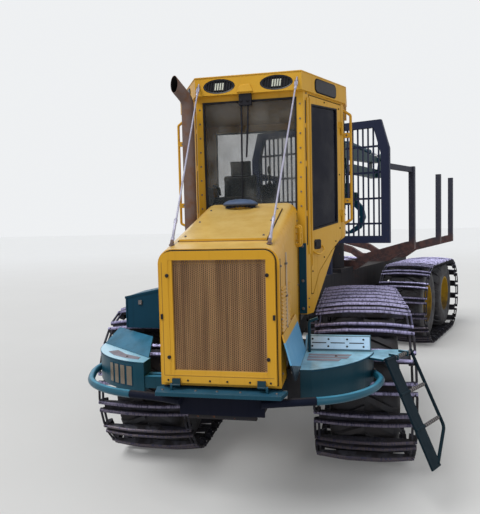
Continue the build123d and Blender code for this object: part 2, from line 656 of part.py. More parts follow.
# Rear frame: a box beam from the pivot's eye to the tail, the steering lugs and the crane's seat
CRANE_Y = 1600
CRANE_SEAT_TOP = 1900
pieces = [
    block(-BEAM_HALF, BEAM_HALF, REAR_FRAME_START + 240, REAR_FRAME_END, BEAM_LOW, BEAM_TOP),
    block(-110, 110, 0, REAR_FRAME_START + 260, PIVOT_LOW + PIVOT_EAR + 6, PIVOT_HIGH - PIVOT_EAR - 6),
    Pos(0, 0, (PIVOT_LOW + PIVOT_HIGH) / 2) * Cylinder(120, PIVOT_HIGH - PIVOT_LOW - 2 * PIVOT_EAR - 12),
    Pos(0, 0, (PIVOT_LOW + PIVOT_HIGH) / 2) * Cylinder(PIVOT_PIN / 2, PIVOT_HIGH - PIVOT_LOW + 20),
    block(-BEAM_HALF, BEAM_HALF, REAR_BOGIE_Y - 300, REAR_BOGIE_Y + 300, AXLE_TOP, BEAM_LOW),
    block(-280, 280, CRANE_Y - 280, CRANE_Y + 280, BEAM_TOP, BEAM_TOP + 60),
    Pos(0, CRANE_Y, (BEAM_TOP + CRANE_SEAT_TOP) / 2) * Cylinder(210, CRANE_SEAT_TOP - BEAM_TOP),
]
STEER_EYE_X = 360
STEER_EYE_Y = 450
for side in (-1, 1):
    for z0 in (STEER_Z - STEER_EYE / 2 - 25, STEER_Z + STEER_EYE / 2 + 5):
        x0, x1 = sorted((side * 100, side * STEER_EYE_X))
        pieces.append(block(x0, x1, STEER_EYE_Y - 50, STEER_EYE_Y + 50, z0, z0 + 20))
        pieces.append(Pos(side * STEER_EYE_X, STEER_EYE_Y, z0 + 10) * Cylinder(50, 20))
keep("rear_frame", fused(pieces), REAR)

# Headboard gate: a frame with cut corners, upright bars and cross bars
GATE_Y = 1000
GATE_HALF = 1170
GATE_LOW = 1900
GATE_TOP = 3740
GATE_CUT_X = 120
GATE_CUT_Z = 430
GATE_DEPTH = 70
GATE_POST = 125
GATE_RAIL = 110
GATE_BARS = 26
GATE_BAR = 22


def gate_outline(post, rail):
    """The frame's outline in front view, pulled in by its posts' width and its rails' width."""
    half = GATE_HALF - post
    high = GATE_TOP - rail
    cut_x = GATE_HALF - GATE_CUT_X - post * 0.92
    cut_z = GATE_TOP - GATE_CUT_Z - post * 0.59
    return [
        (-half, GATE_LOW + rail), (half, GATE_LOW + rail), (half, cut_z), (cut_x, high), (-cut_x, high),
        (-half, cut_z),
    ]


gate = front_cut(gate_outline(0, 0), GATE_Y, GATE_Y + GATE_DEPTH)
gate -= front_cut(gate_outline(GATE_POST, GATE_RAIL), GATE_Y - 1, GATE_Y + GATE_DEPTH + 1)
window = front_cut(gate_outline(GATE_POST - 5, GATE_RAIL - 5), GATE_Y, GATE_Y + GATE_DEPTH)
bars = []
for index in range(GATE_BARS):
    x = -GATE_HALF + GATE_POST + (index + 0.5) * 2 * (GATE_HALF - GATE_POST) / GATE_BARS
    upright = block(x - GATE_BAR / 2, x + GATE_BAR / 2, GATE_Y + 20, GATE_Y + 42, GATE_LOW, GATE_TOP) & window
    bars.append(upright)
for z in (2180, 2560, 2950, 3340):
    bars.append(block(-GATE_HALF + 30, GATE_HALF - 30, GATE_Y + 36, GATE_Y + 50, z, z + 30))
feet = []
for side in (-1, 1):
    x0, x1 = sorted((side * 160, side * 230))
    feet.append(block(x0, x1, GATE_Y, GATE_Y + GATE_DEPTH, BEAM_TOP, GATE_LOW + 10))
gate = gate.fuse(*bars, *feet)
keep("headboard_gate", gate, REAR)

# Bunks: a sloped bolster with a stake at each end, the first tied forward to the gate's posts
BUNK_Y = (2000, 4000, 5200)
BUNK_HALF = 1250
STAKE = 90
STAKE_TOP = 3100
bunks = []
arm_half = [
    (290, BEAM_TOP), (520, 1560), (BUNK_HALF + STAKE / 2, 1760), (BUNK_HALF + STAKE / 2, 1900),
    (BUNK_HALF - STAKE, 1880), (520, 1700), (290, 1560),
]
arm = [(-x, z) for x, z in reversed(arm_half)] + arm_half
for y in BUNK_Y:
    bunk = front_cut(arm, y - 60, y + 60)
    for side in (-1, 1):
        x0, x1 = side * BUNK_HALF - STAKE / 2, side * BUNK_HALF + STAKE / 2
        bunk += block(x0, x1, y - STAKE / 2, y + STAKE / 2, 1850, STAKE_TOP)
    bunks.append(bunk)
tie_start = GATE_Y + GATE_DEPTH + FIT
for side in (-1, 1):
    tie = [(1095, tie_start), (1155, tie_start), (1275, BUNK_Y[0]), (1215, BUNK_Y[0])]
    bunks[0] += plan_cut([(side * x, y) for x, y in tie[::side]], 3010, STAKE_TOP - 10)
keep("bunks_and_stakes", bunks, REAR)

# A ram: its barrel turns on the base pin, and its rod's eye stands free between the far lugs.
RAM_COLLAR = 8


def ram(base, eye, pin_axis, along, radii, eye_width, pin):
    """Barrel and rod, from the barrel's length, its bore's start, the rod's start and both radii."""
    barrel_length, bore_start, rod_start = along
    barrel_radius, rod_radius = radii
    run = Vector(*eye) - Vector(*base)
    place = Plane(origin=base, x_dir=pin_axis, z_dir=run)
    low = (Align.CENTER, Align.CENTER, Align.MIN)
    ring = Rot(0, 90, 0) * Cylinder(barrel_radius, eye_width)
    barrel = Cylinder(barrel_radius, barrel_length, align=low) + ring
    barrel += Pos(0, 0, barrel_length - 50) * Cylinder(barrel_radius + RAM_COLLAR, 50, align=low)
    barrel -= Pos(0, 0, bore_start) * Cylinder(rod_radius + FIT, barrel_length, align=low)
    barrel -= Rot(0, 90, 0) * Cylinder(pin / 2 + FIT, eye_width + 10)
    far = run.length
    rod = Pos(0, 0, rod_start) * Cylinder(rod_radius, far - rod_start, align=low)
    rod += Pos(0, 0, far) * Rot(0, 90, 0) * Cylinder(rod_radius + 12, eye_width)
    return place * barrel, place * rod


# Steering rams, one each side of the pivot
turned = Pos(0, PIVOT_Y, 0) * Rot(0, 0, -TURN)
for name, side, rod_start in (("left", 1, 280), ("right", -1, 556)):
    eye = (turned * Pos(side * STEER_EYE_X, STEER_EYE_Y, STEER_Z)).position
    base = (side * STEER_BASE_X, STEER_BASE_Y, STEER_Z)
    barrel, rod = ram(base, eye, (0, 0, 1), (720, 110, rod_start), (42, 25), STEER_EYE, STEER_PIN)
    keep(f"steering_barrel_{name}", barrel)
    keep(f"steering_rod_{name}", rod)

# Crane column: it slews on the frame's seat and holds the boom's pin and the lift ram's pin
BOOM_PIN_Z = 3470
BOOM_PIN = 70
KNUCKLE_Y = 4000
COLUMN_RADIUS = 130
LIFT_BASE_Y = CRANE_Y + 230
LIFT_BASE_Z = 2480
LIFT_EYE_Y = CRANE_Y + 600
LIFT_EYE_Z = BOOM_PIN_Z - 260
LIFT_WIDTH = 100
LIFT_PIN = 60
CRANE_FOOT = CRANE_SEAT_TOP + FIT
pieces = [
    Pos(0, CRANE_Y, (CRANE_FOOT + 3300) / 2) * Cylinder(COLUMN_RADIUS, 3300 - CRANE_FOOT),
    Pos(0, CRANE_Y, CRANE_FOOT + 60) * Cylinder(205, 120),
    block(-100, 100, CRANE_Y - 110, CRANE_Y + 110, 3250, 3330),
    across(-160, 160, CRANE_Y, BOOM_PIN_Z, BOOM_PIN / 2),
    across(-85, 85, LIFT_BASE_Y, LIFT_BASE_Z, LIFT_PIN / 2),
]
for side in (-1, 1):
    x0, x1 = sorted((side * 95, side * 135))
    pieces.append(block(x0, x1, CRANE_Y - 110, CRANE_Y + 110, 3250, BOOM_PIN_Z))
    pieces.append(across(x0, x1, CRANE_Y, BOOM_PIN_Z, 110))
    x0, x1 = sorted((side * 56, side * 80))
    pieces.append(block(x0, x1, CRANE_Y + 60, LIFT_BASE_Y, LIFT_BASE_Z - 60, LIFT_BASE_Z + 60))
    pieces.append(across(x0, x1, LIFT_BASE_Y, LIFT_BASE_Z, 60))
keep("crane_column", fused(pieces), REAR)

# Main boom, level over the load space: a tapered box, its knuckle pin and the lift ram's lugs
BOOM_HALF = 85
KNUCKLE_PIN = 70
JIB_RAM_Y = KNUCKLE_Y - 1500
JIB_RAM_Z = BOOM_PIN_Z + 175
JIB_RAM_WIDTH = 90
JIB_RAM_PIN = 50
boom_side = [
    (CRANE_Y - 90, BOOM_PIN_Z - 90), (CRANE_Y + 400, BOOM_PIN_Z - 130), (KNUCKLE_Y - 60, BOOM_PIN_Z - 60),
    (KNUCKLE_Y + 60, BOOM_PIN_Z - 60), (KNUCKLE_Y + 60, BOOM_PIN_Z + 45), (KNUCKLE_Y - 300, BOOM_PIN_Z + 45),
    (CRANE_Y + 700, BOOM_PIN_Z + 120), (CRANE_Y - 90, BOOM_PIN_Z + 90),
]
pieces = [
    side_cut(boom_side, -BOOM_HALF, BOOM_HALF),
    across(-130, 130, KNUCKLE_Y, BOOM_PIN_Z, KNUCKLE_PIN / 2),
    across(-70, 70, JIB_RAM_Y, JIB_RAM_Z, JIB_RAM_PIN / 2),
]
for side in (-1, 1):
    x0, x1 = sorted((side * 50, side * 70))
    pieces.append(block(x0, x1, JIB_RAM_Y - 50, JIB_RAM_Y + 50, BOOM_PIN_Z + 60, JIB_RAM_Z))
    pieces.append(across(x0, x1, JIB_RAM_Y, JIB_RAM_Z, 50))
    x0, x1 = sorted((side * 56, side * 80))
    pieces.append(block(x0, x1, LIFT_EYE_Y - 60, LIFT_EYE_Y + 60, LIFT_EYE_Z, BOOM_PIN_Z - 80))
    pieces.append(across(x0, x1, LIFT_EYE_Y, LIFT_EYE_Z, 60))
main_boom = fused(pieces) - across(-200, 200, CRANE_Y, BOOM_PIN_Z, BOOM_PIN / 2 + FIT)
keep("main_boom", main_boom, REAR)

# Outer boom, folded back under the main boom, with the lever that its ram turns
JIB_Z = 3190
JIB_TIP_Y = 2400
JIB_HALF = 70
SLEEVE = 45
JIB_EYE_Y = KNUCKLE_Y + 164
JIB_EYE_Z = BOOM_PIN_Z + 115
cheek = [
    (KNUCKLE_Y - 150, JIB_Z - 85), (KNUCKLE_Y + 90, JIB_Z - 85), (KNUCKLE_Y + 120, BOOM_PIN_Z - 40),
    (JIB_EYE_Y + 40, JIB_EYE_Z - 20), (JIB_EYE_Y + 20, JIB_EYE_Z + 45), (JIB_EYE_Y - 30, JIB_EYE_Z + 45),
    (KNUCKLE_Y - 60, BOOM_PIN_Z + 55), (KNUCKLE_Y - 75, BOOM_PIN_Z - 60), (KNUCKLE_Y - 150, JIB_Z + 70),
]
pieces = [
    block(-JIB_HALF, JIB_HALF, JIB_TIP_Y + 150, KNUCKLE_Y + 70, JIB_Z - 85, JIB_Z + 80),
    side_cut(cheek, -BOOM_HALF - 30, -BOOM_HALF - 6),
    side_cut(cheek, BOOM_HALF + 6, BOOM_HALF + 30),
    block(-BOOM_HALF - 20, BOOM_HALF + 20, KNUCKLE_Y - 150, KNUCKLE_Y + 90, JIB_Z - 85, JIB_Z + 60),
]
jib = fused(pieces) - across(-200, 200, KNUCKLE_Y, BOOM_PIN_Z, KNUCKLE_PIN / 2 + FIT)
room = SLEEVE + FIT
jib -= block(-room, room, JIB_TIP_Y, KNUCKLE_Y - 100, JIB_Z - 5 - room, JIB_Z - 5 + room)
keep("outer_boom", jib, REAR)

# Boom extension, drawn back into the outer boom, with the fork that holds the swing link
LINK_PIN = 44
extension = block(-SLEEVE, SLEEVE, JIB_TIP_Y - 45, KNUCKLE_Y - 160, JIB_Z - 5 - SLEEVE, JIB_Z - 5 + SLEEVE)
extension -= block(-20, 20, JIB_TIP_Y - 80, JIB_TIP_Y + 60, JIB_Z - 80, JIB_Z + 80)
extension += across(-SLEEVE, SLEEVE, JIB_TIP_Y, JIB_Z - 5, LINK_PIN / 2)
keep("boom_extension", extension, REAR)

base = (0, LIFT_BASE_Y, LIFT_BASE_Z)
eye = (0, LIFT_EYE_Y, LIFT_EYE_Z)
barrel, rod = ram(base, eye, (1, 0, 0), (750, 36, 56), (52, 32), LIFT_WIDTH, LIFT_PIN)
keep("lift_ram_barrel", barrel, REAR)
keep("lift_ram_rod", rod, REAR)
base = (0, JIB_RAM_Y, JIB_RAM_Z)
eye = (0, JIB_EYE_Y, JIB_EYE_Z)
barrel, rod = ram(base, eye, (1, 0, 0), (1150, 250, 600), (42, 25), JIB_RAM_WIDTH, JIB_RAM_PIN)
keep("jib_ram_barrel", barrel, REAR)
keep("jib_ram_rod", rod, REAR)

# Swing link and rotator under the extension's tip, the grapple's head and its two jaws
ROTATOR_Z = 2850
link = fused([
    block(-19.5, 19.5, JIB_TIP_Y - 38, JIB_TIP_Y + 38, ROTATOR_Z + 60, JIB_Z - 5),
    across(-19.5, 19.5, JIB_TIP_Y, JIB_Z - 5, 38),
    Pos(0, JIB_TIP_Y, ROTATOR_Z + 40) * Cylinder(70, 60),
]) - across(-50, 50, JIB_TIP_Y, JIB_Z - 5, LINK_PIN / 2 + FIT)
keep("swing_link", link, REAR)
JAW_PIN_Z = 2580
JAW_PIN_X = 130
JAW_PIN = 50
HEAD_TOP = ROTATOR_Z + 10 - FIT
pieces = [
    Pos(0, JIB_TIP_Y, HEAD_TOP - 60) * Cylinder(105, 120),
    block(-185, 185, JIB_TIP_Y - 60, JIB_TIP_Y + 60, HEAD_TOP - 140, HEAD_TOP - 110),
]
for y0 in (JIB_TIP_Y - 60, JIB_TIP_Y + 42):
    plate = [(-185, 2720), (-185, 2560), (-110, 2530), (110, 2530), (185, 2560), (185, 2720)]
    pieces.append(front_cut(plate, y0, y0 + 18))
for side in (-1, 1):
    x = side * JAW_PIN_X
    pieces.append(bar((x, JIB_TIP_Y - 60, JAW_PIN_Z), (x, JIB_TIP_Y + 60, JAW_PIN_Z), JAW_PIN))
keep("grapple_head", fused(pieces), REAR)
jaw_points = [
    (60, 2600), (100, 2640), (165, 2630), (290, 2490), (333, 2300), (250, 2110), (90, 2018), (12, 2010),
    (12, 2045), (190, 2170), (240, 2310), (200, 2430), (90, 2540),
]
jaw = front_cut(jaw_points, JIB_TIP_Y - 38, JIB_TIP_Y + 38)
hole = bar((JAW_PIN_X, JIB_TIP_Y - 50, JAW_PIN_Z), (JAW_PIN_X, JIB_TIP_Y + 50, JAW_PIN_Z), JAW_PIN + 2 * FIT)
jaw -= hole
keep("grapple_jaw_left", jaw, REAR)
keep("grapple_jaw_right", mirrored(jaw), REAR)
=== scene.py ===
from math import atan2, cos, degrees, hypot, pi, radians, sin

import bmesh
import bpy
from mathutils import Matrix, Vector


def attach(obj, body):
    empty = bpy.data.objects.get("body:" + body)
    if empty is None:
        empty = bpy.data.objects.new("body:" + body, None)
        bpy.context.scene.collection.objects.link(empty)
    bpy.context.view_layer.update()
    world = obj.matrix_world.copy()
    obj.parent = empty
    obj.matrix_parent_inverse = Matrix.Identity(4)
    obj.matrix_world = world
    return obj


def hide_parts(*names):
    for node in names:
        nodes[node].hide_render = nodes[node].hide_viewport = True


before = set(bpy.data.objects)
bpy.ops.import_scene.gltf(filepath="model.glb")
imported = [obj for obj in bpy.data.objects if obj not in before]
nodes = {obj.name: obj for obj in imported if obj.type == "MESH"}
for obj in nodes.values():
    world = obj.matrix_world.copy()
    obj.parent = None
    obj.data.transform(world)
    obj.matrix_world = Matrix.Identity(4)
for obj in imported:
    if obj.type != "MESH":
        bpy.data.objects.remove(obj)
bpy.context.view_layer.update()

# Camera, floor and light.
# The eye stands ahead of the machine's left side at head height and looks a little down.
# Two broad soft lamps and an even pale room light it, and the floor keeps its shadow.
eye = Vector((0.044, -8.383, 2.253))
yaw, pitch, roll = -0.202, -0.062, -0.024
forward = Vector((sin(yaw) * cos(pitch), cos(yaw) * cos(pitch), sin(pitch)))
level = Vector((cos(yaw), -sin(yaw), 0))
upright = level.cross(forward)
right = level * cos(roll) + upright * sin(roll)
up = upright * cos(roll) - level * sin(roll)
camera = bpy.data.objects.new("camera", bpy.data.cameras.new("camera"))
camera.matrix_world = Matrix.Translation(eye) @ Matrix((right, up, -forward)).transposed().to_4x4()
camera.data.sensor_fit = "HORIZONTAL"
camera.data.sensor_width = 36
camera.data.lens = 41.14
camera.data.clip_end = 300
bpy.context.scene.collection.objects.link(camera)
bpy.context.scene.camera = camera
bpy.context.scene.view_settings.view_transform = "Standard"

LAMPS = (("key lamp", 2.0, 0.5, 37, -36), ("fill lamp", 0.6, 0.8, 60, 50))
for name, strength, softness, tilt, turn in LAMPS:
    lamp = bpy.data.lights.new(name, "SUN")
    lamp.energy = strength
    lamp.angle = softness
    holder = bpy.data.objects.new(name, lamp)
    holder.rotation_euler = (radians(tilt), 0, radians(turn))
    bpy.context.scene.collection.objects.link(holder)

room = bpy.data.worlds.new("room")
bpy.context.scene.world = room
room.use_nodes = True
room_nodes = room.node_tree.nodes
room_links = room.node_tree.links
backdrop = room_nodes.new("ShaderNodeBackground")
backdrop.inputs["Color"].default_value = (0.86, 0.875, 0.89, 1)
backdrop.inputs["Strength"].default_value = 1
even = room_nodes["Background"]
even.inputs["Color"].default_value = (0.95, 0.97, 1, 1)
even.inputs["Strength"].default_value = 0.38
rays = room_nodes.new("ShaderNodeLightPath")
seen = rays.outputs["Is Camera Ray"]
for ray in ("Is Glossy Ray", "Is Transmission Ray"):
    either = room_nodes.new("ShaderNodeMath")
    either.operation = "MAXIMUM"
    room_links.new(seen, either.inputs[0])
    room_links.new(rays.outputs[ray], either.inputs[1])
    seen = either.outputs[0]
choose = room_nodes.new("ShaderNodeMixShader")
room_links.new(seen, choose.inputs[0])
room_links.new(even.outputs[0], choose.inputs[1])
room_links.new(backdrop.outputs[0], choose.inputs[2])
room_links.new(choose.outputs[0], room_nodes["World Output"].inputs["Surface"])


# Frames, axles and engine.
# Welded and cast steel under the bodywork, sprayed dark at the works and since covered in
# oil, dust and dried mud, thickest low down. The radiator is a stack of fine bright fins.
class Wire:
    """A socket of a shader. Arithmetic on it adds the Math nodes."""

    def __init__(self, finish, socket):
        self.finish = finish
        self.socket = socket

    def maths(self, operation, first, second):
        return self.finish.node("ShaderNodeMath", {"operation": operation}, {0: first, 1: second})

    def __add__(self, other):
        return self.maths("ADD", self, other)

    def __sub__(self, other):
        return self.maths("SUBTRACT", self, other)

    def __rsub__(self, other):
        return self.maths("SUBTRACT", other, self)

    def __mul__(self, other):
        return self.maths("MULTIPLY", self, other)

    def __pow__(self, other):
        return self.maths("POWER", self, other)

    __radd__ = __add__
    __rmul__ = __mul__


class Finish:
    """A material in the making: node() adds any node, and the rest are the usual ones."""

    def __init__(self, name, **constants):
        self.material = bpy.data.materials.new(name)
        self.material.use_nodes = True
        self.tree = self.material.node_tree
        self.shader = self.tree.nodes["Principled BSDF"]
        for socket, value in constants.items():
            self.set(socket.replace("_", " "), value)

    def feed(self, socket, value):
        if isinstance(value, Wire):
            self.tree.links.new(value.socket, socket)
        elif isinstance(value, tuple) and len(value) == 3 and socket.type == "RGBA":
            socket.default_value = (*value, 1)
        else:
            socket.default_value = value

    def set(self, socket, value):
        self.feed(self.shader.inputs[socket], value)

    def node(self, kind, settings=None, inputs=None, out=0):
        made = self.tree.nodes.new(kind)
        for setting, value in (settings or {}).items():
            setattr(made, setting, value)
        for key, value in (inputs or {}).items():
            self.feed(made.inputs[key], value)
        return Wire(self, made.outputs[out])

    def spot(self, stretch=(1, 1, 1)):
        """Where the point is on the machine, in metres, squeezed along each axis."""
        place = self.node("ShaderNodeTexCoord", out="Object")
        return self.node("ShaderNodeVectorMath", {"operation": "MULTIPLY"}, {0: place, 1: stretch})

    def noise(self, scale, detail=3, stretch=(1, 1, 1), rough=0.55):
        return self.node(
            "ShaderNodeTexNoise", None,
            {"Vector": self.spot(stretch), "Scale": scale, "Detail": detail, "Roughness": rough},
        )

    def axis(self, of, out):
        return self.node("ShaderNodeSeparateXYZ", None, {0: of}, out)

    def facing_up(self, low=0.25, high=0.85):
        normal = self.node("ShaderNodeNewGeometry", out="Normal")
        return self.ramp(self.axis(normal, 2), low, high)

    def ramp(self, value, low, high):
        """0 below low, 1 above high, and smooth between them."""
        return self.node(
            "ShaderNodeMapRange", {"interpolation_type": "SMOOTHSTEP"},
            {0: value, 1: low, 2: high, 3: 0.0, 4: 1.0},
        )

    def beyond(self, axis, edge, soft=0.004):
        """1 past the edge along an axis of the machine, in metres. A minus on soft turns it round."""
        return self.ramp((self.axis(self.spot(), axis) - edge) * (1 if soft > 0 else -1), 0, abs(soft))

    def wave(self, axis, waves):
        """A sine along an axis of the machine, with so many radians to a metre."""
        return self.node("ShaderNodeMath", {"operation": "SINE"}, {0: self.axis(self.spot(), axis) * waves})

    def blend(self, share, first, second):
        return self.node("ShaderNodeMix", {"data_type": "RGBA"}, {0: share, 6: first, 7: second}, 2)

    def tones(self, share, first, second):
        """The surface's own colour: the first where share is 0, and the second where it is 1."""
        self.set("Base Color", self.blend(share, first, second))

    def bump(self, height, strength=0.3, depth=0.002):
        return self.node("ShaderNodeBump", None, {"Strength": strength, "Distance": depth, "Height": height})


MUD = (0.055, 0.042, 0.034)
RUST = (0.16, 0.055, 0.022)


def sprayed(
    name, colour, faded, rust=0.66, mud_line=0.9, rough=0.42,
    dust_and_sheen=(0.10, 0.085, 0.075), dust_and_sheen_share=0.3, gloss=0.3, sky=0.0,
):
    """Paint on steel: faded in clouds, streaked by rain, muddy below mud_line, and chipped, less as rust
    goes up. Dust settles on its tops, and on the pale yellow and blue coats a painted sheen of light
    and sky as well. dusty is how thick that colour lies on them, and sky how much they shine."""
    coat = Finish(name, Specular_IOR_Level=gloss, Coat_Roughness=0.22)
    clouds = coat.noise(1.1, 4)
    streaks = coat.noise(1.0, 3, (34, 34, 1.3))
    grains = coat.noise(38, 4)
    chips = coat.ramp(grains * 0.62 + clouds * 0.38, rust, rust + 0.03)
    height = coat.axis(coat.spot(), 2)
    muddy = coat.ramp(mud_line - height + (coat.noise(5, 5) - 0.5) * 1.1, 0.0, 0.45)
    body = coat.blend(coat.ramp(clouds, 0.35, 0.7) * 0.55, colour, faded)
    body = coat.blend(coat.ramp(streaks, 0.55, 0.75) * 0.22, body, tuple(0.45 * c for c in colour))
    settled = coat.ramp(coat.noise(7, 5), 0.25, 0.7) * 0.45 + 0.55
    # Dust on the tops, and on the pale yellow and blue coats also a painted sheen of light and sky.
    body = coat.blend(coat.facing_up(0.72, 0.99) * settled * dust_and_sheen_share, body, dust_and_sheen)
    body = coat.blend(chips, body, RUST)
    coat.body = coat.blend(muddy * 0.8, body, MUD)
    coat.set("Base Color", coat.body)
    coat.set("Roughness", rough + chips * 0.4 + muddy * 0.4 + coat.ramp(streaks, 0.4, 0.8) * 0.12)
    coat.set("Normal", coat.bump(grains * 0.3 + chips * -1.0 + muddy * grains, 0.25))
    if sky:
        coat.set("Coat Weight", coat.facing_up(0.5, 0.95) * sky)
    return coat


def wear(coat, *names):
    """Gives the coat to every face of these CAD nodes."""
    for name in names:
        for place in nodes[name].material_slots:
            place.material = coat.material


chassis_paint = sprayed(
    "chassis paint", (0.014, 0.015, 0.020), (0.030, 0.028, 0.030),
    rust=0.62, mud_line=1.0, rough=0.6, gloss=0.15,
)
wear(chassis_paint, "front_frame", "front_axle", "rear_axle")

engine_paint = Finish("engine paint", Metallic=0.3)
oily = engine_paint.noise(9, 5)
engine_paint.tones(oily, (0.03, 0.032, 0.034), (0.12, 0.115, 0.105))
engine_paint.set("Roughness", 0.35 + oily * 0.4)
engine_paint.set("Normal", engine_paint.bump(engine_paint.noise(60, 4), 0.5))
wear(engine_paint, "engine")

radiator_core = Finish("radiator core", Metallic=0.6, Roughness=0.5)
fin = radiator_core.wave(2, 900)
radiator_core.tones(radiator_core.ramp(fin, -0.5, 0.6), (0.006, 0.005, 0.006), (0.035, 0.03, 0.03))
radiator_core.set("Normal", radiator_core.bump(fin, 0.6))
wear(radiator_core, "radiator")


# Tyres.
# Wide low pressure forestry tyres of black rubber, two to each bogie end, with rounded
# walls, a stepped bead and deep slanted lugs under the track's shoes. Caked with dry mud.
# Each unit is drawn straight, in millimetres, with y running back from the nose or the pivot.
MIDDLE_X, NOSE_Y, PIVOT_Y, REAR_TURN = -0.846, -4.813, -0.463, -20
MILLIMETRES = Matrix.Scale(0.001, 4)
FRONT = Matrix.Translation((MIDDLE_X, NOSE_Y, 0)) @ MILLIMETRES
REAR = Matrix.Translation((MIDDLE_X, PIVOT_Y, 0)) @ Matrix.Rotation(radians(REAR_TURN), 4, "Z") @ MILLIMETRES


class Form:
    """The mesh of one piece, in millimetres, put together from simple closed bodies."""

    def __init__(self):
        self.points = []
        self.faces = []
        self.coats = []

    def add(self, points, faces, coats, place=None):
        start = len(self.points)
        self.points += [place @ Vector(p) if place else Vector(p) for p in points]
        self.faces += [[start + i for i in face] for face in faces]
        self.coats += coats

    def loft(self, rings, coat=0, place=None, closed=False, sides=None):
        """A skin through rings of points, capped unless it closes.

        sides gives a coat to each side of the ring."""
        count = len(rings[0])
        faces = []
        coats = []
        for r in range(len(rings) if closed else len(rings) - 1):
            near = r * count
            far = (r + 1) % len(rings) * count
            for i in range(count):
                j = (i + 1) % count
                faces.append((near + i, near + j, far + j, far + i))
                coats.append(sides[i] if sides else coat)
        if not closed:
            last = (len(rings) - 1) * count
            faces += [tuple(reversed(range(count))), tuple(range(last, last + count))]
            coats += [coat, coat]
        self.add([p for ring in rings for p in ring], faces, coats, place)

    def prism(self, outline, low, high, along="z", coat=0, place=None):
        """An outline pulled along an axis: (y, z) along x, (x, z) along y, (x, y) along z."""
        lay = {
            "x": lambda u, v, w: (w, u, v),
            "y": lambda u, v, w: (u, w, v),
            "z": lambda u, v, w: (u, v, w),
        }[along]
        self.loft([[lay(u, v, w) for u, v in outline] for w in (low, high)], coat, place)

    def slab(self, x0, x1, y0, y1, z0, z1, coat=0, place=None):
        self.prism([(x0, y0), (x1, y0), (x1, y1), (x0, y1)], z0, z1, "z", coat, place)

    def turned(self, profile, steps=24, coat=0, place=None, closed=False):
        """A profile of (radius, height) turned about z."""
        turns = [2 * pi * i / steps for i in range(steps)]
        self.loft([[(r * cos(t), r * sin(t), z) for t in turns] for r, z in profile], coat, place, closed)

    def tube(self, path, radius, steps=10, coat=0, place=None, closed=False):
        """A round rod along a path."""
        path = [Vector(p) for p in path]
        rings = []
        side = None
        for i, point in enumerate(path):
            before = path[i - 1] if i or closed else point
            after = path[(i + 1) % len(path)] if i + 1 < len(path) or closed else point
            run = (after - before).normalized()
            if side is None:
                side = run.orthogonal().normalized()
            side = (side - run * side.dot(run)).normalized()
            other = run.cross(side)
            rings.append([
                point + side * radius * cos(2 * pi * k / steps) + other * radius * sin(2 * pi * k / steps)
                for k in range(steps)
            ])
        self.loft(rings, coat, place, closed)

    def make(self, name, body, finishes, place=FRONT, soften=0, crease=38, weld=False):
        """The piece itself, on its body, with its edges softened by so many millimetres."""
        mesh = bpy.data.meshes.new(name)
        mesh.from_pydata([place @ p for p in self.points], [], self.faces)
        mesh.polygons.foreach_set("material_index", self.coats)
        for finish in finishes:
            mesh.materials.append(finish.material)
        work = bmesh.new()
        work.from_mesh(mesh)
        if weld:
            bmesh.ops.remove_doubles(work, verts=work.verts, dist=1e-5)
        bmesh.ops.recalc_face_normals(work, faces=work.faces)
        work.to_mesh(mesh)
        work.free()
        mesh.polygons.foreach_set("use_smooth", [True] * len(mesh.polygons))
        mesh.set_sharp_from_angle(angle=radians(crease))
        piece = bpy.data.objects.new(name, mesh)
        bpy.context.scene.collection.objects.link(piece)
        if soften:
            edge = piece.modifiers.new("softened edges", "BEVEL")
            edge.width = soften / 1000
            edge.segments = 2
            edge.limit_method = "ANGLE"
            edge.angle_limit = radians(40)
        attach(piece, body)
        return piece


tyre_rubber = Finish("tyre rubber")
caked = tyre_rubber.ramp(tyre_rubber.noise(6, 5), 0.42, 0.62)
tyre_rubber.tones(caked, (0.007, 0.007, 0.011), (0.022, 0.019, 0.021))
tyre_rubber.set("Roughness", 0.62 + caked * 0.3)
tyre_rubber.set("Normal", tyre_rubber.bump(tyre_rubber.noise(55, 4) + caked, 0.5, 0.004))

WHEEL_X, AXLE_Z, WHEEL_STEP = 980, 730, 750
BOGIES = (("front", 2450, FRONT), ("rear", 3750, REAR))
# The wall from bead to shoulder: distance from the tyre's middle, and radius.
WALL = (
    (275, 338), (286, 350), (288, 378), (293, 392), (297, 440),
    (298, 520), (292, 570), (280, 603), (255, 630), (220, 641),
)
# A lug from the middle outward: distance, radius of its foot and of its crest, and half width.
LUGS, LUG_SLANT, TREAD_RADIUS = 22, 0.5, 660
LUG = ((6, 640, 666, 30), (110, 640, 666, 33), (225, 638, 665, 35), (252, 628, 645, 37), (286, 596, 605, 38))
tyre_profile = [(r, x) for x, r in WALL] + [(r, -x) for x, r in reversed(WALL)]
for unit, bogie_y, place in BOGIES:
    tyres = Form()
    for side in (-1, 1):
        for step in (-WHEEL_STEP, WHEEL_STEP):
            wheel = Matrix.Translation((side * WHEEL_X, bogie_y + step, AXLE_Z))
            wheel = wheel @ Matrix.Rotation(pi / 2, 4, "Y")
            tyres.turned(tyre_profile, 56, 0, wheel, closed=True)
            for half in (-1, 1):
                for lug in range(LUGS):
                    rings = []
                    for x, low, high, width in LUG:
                        middle = 2 * pi * (lug + 0.25 * half) / LUGS + x * LUG_SLANT / TREAD_RADIUS
                        ring = []
                        for radius, flank in ((low, -1), (high, -0.82), (high, 0.82), (low, 1)):
                            angle = middle + flank * width / radius
                            ring.append((radius * cos(angle), radius * sin(angle), half * x))
                        rings.append(ring)
                    tyres.loft(rings, 0, wheel)
    piece = tyres.make(f"{unit}_treaded_tyres", f"{unit}_unit", [tyre_rubber], place)
    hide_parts(f"{unit}_tyres")


# Rims.
# Pressed steel dishes sprayed in the machine's warm yellow, each held by a ring of nuts
# round a turned hub. Mud covers the lower ones.
rim_paint = sprayed(
    "rim paint", (0.38, 0.23, 0.015), (0.42, 0.28, 0.05),
    rust=0.63, mud_line=0.85, rough=0.5, gloss=0.15,
)
wear(rim_paint, "front_rims", "rear_rims")

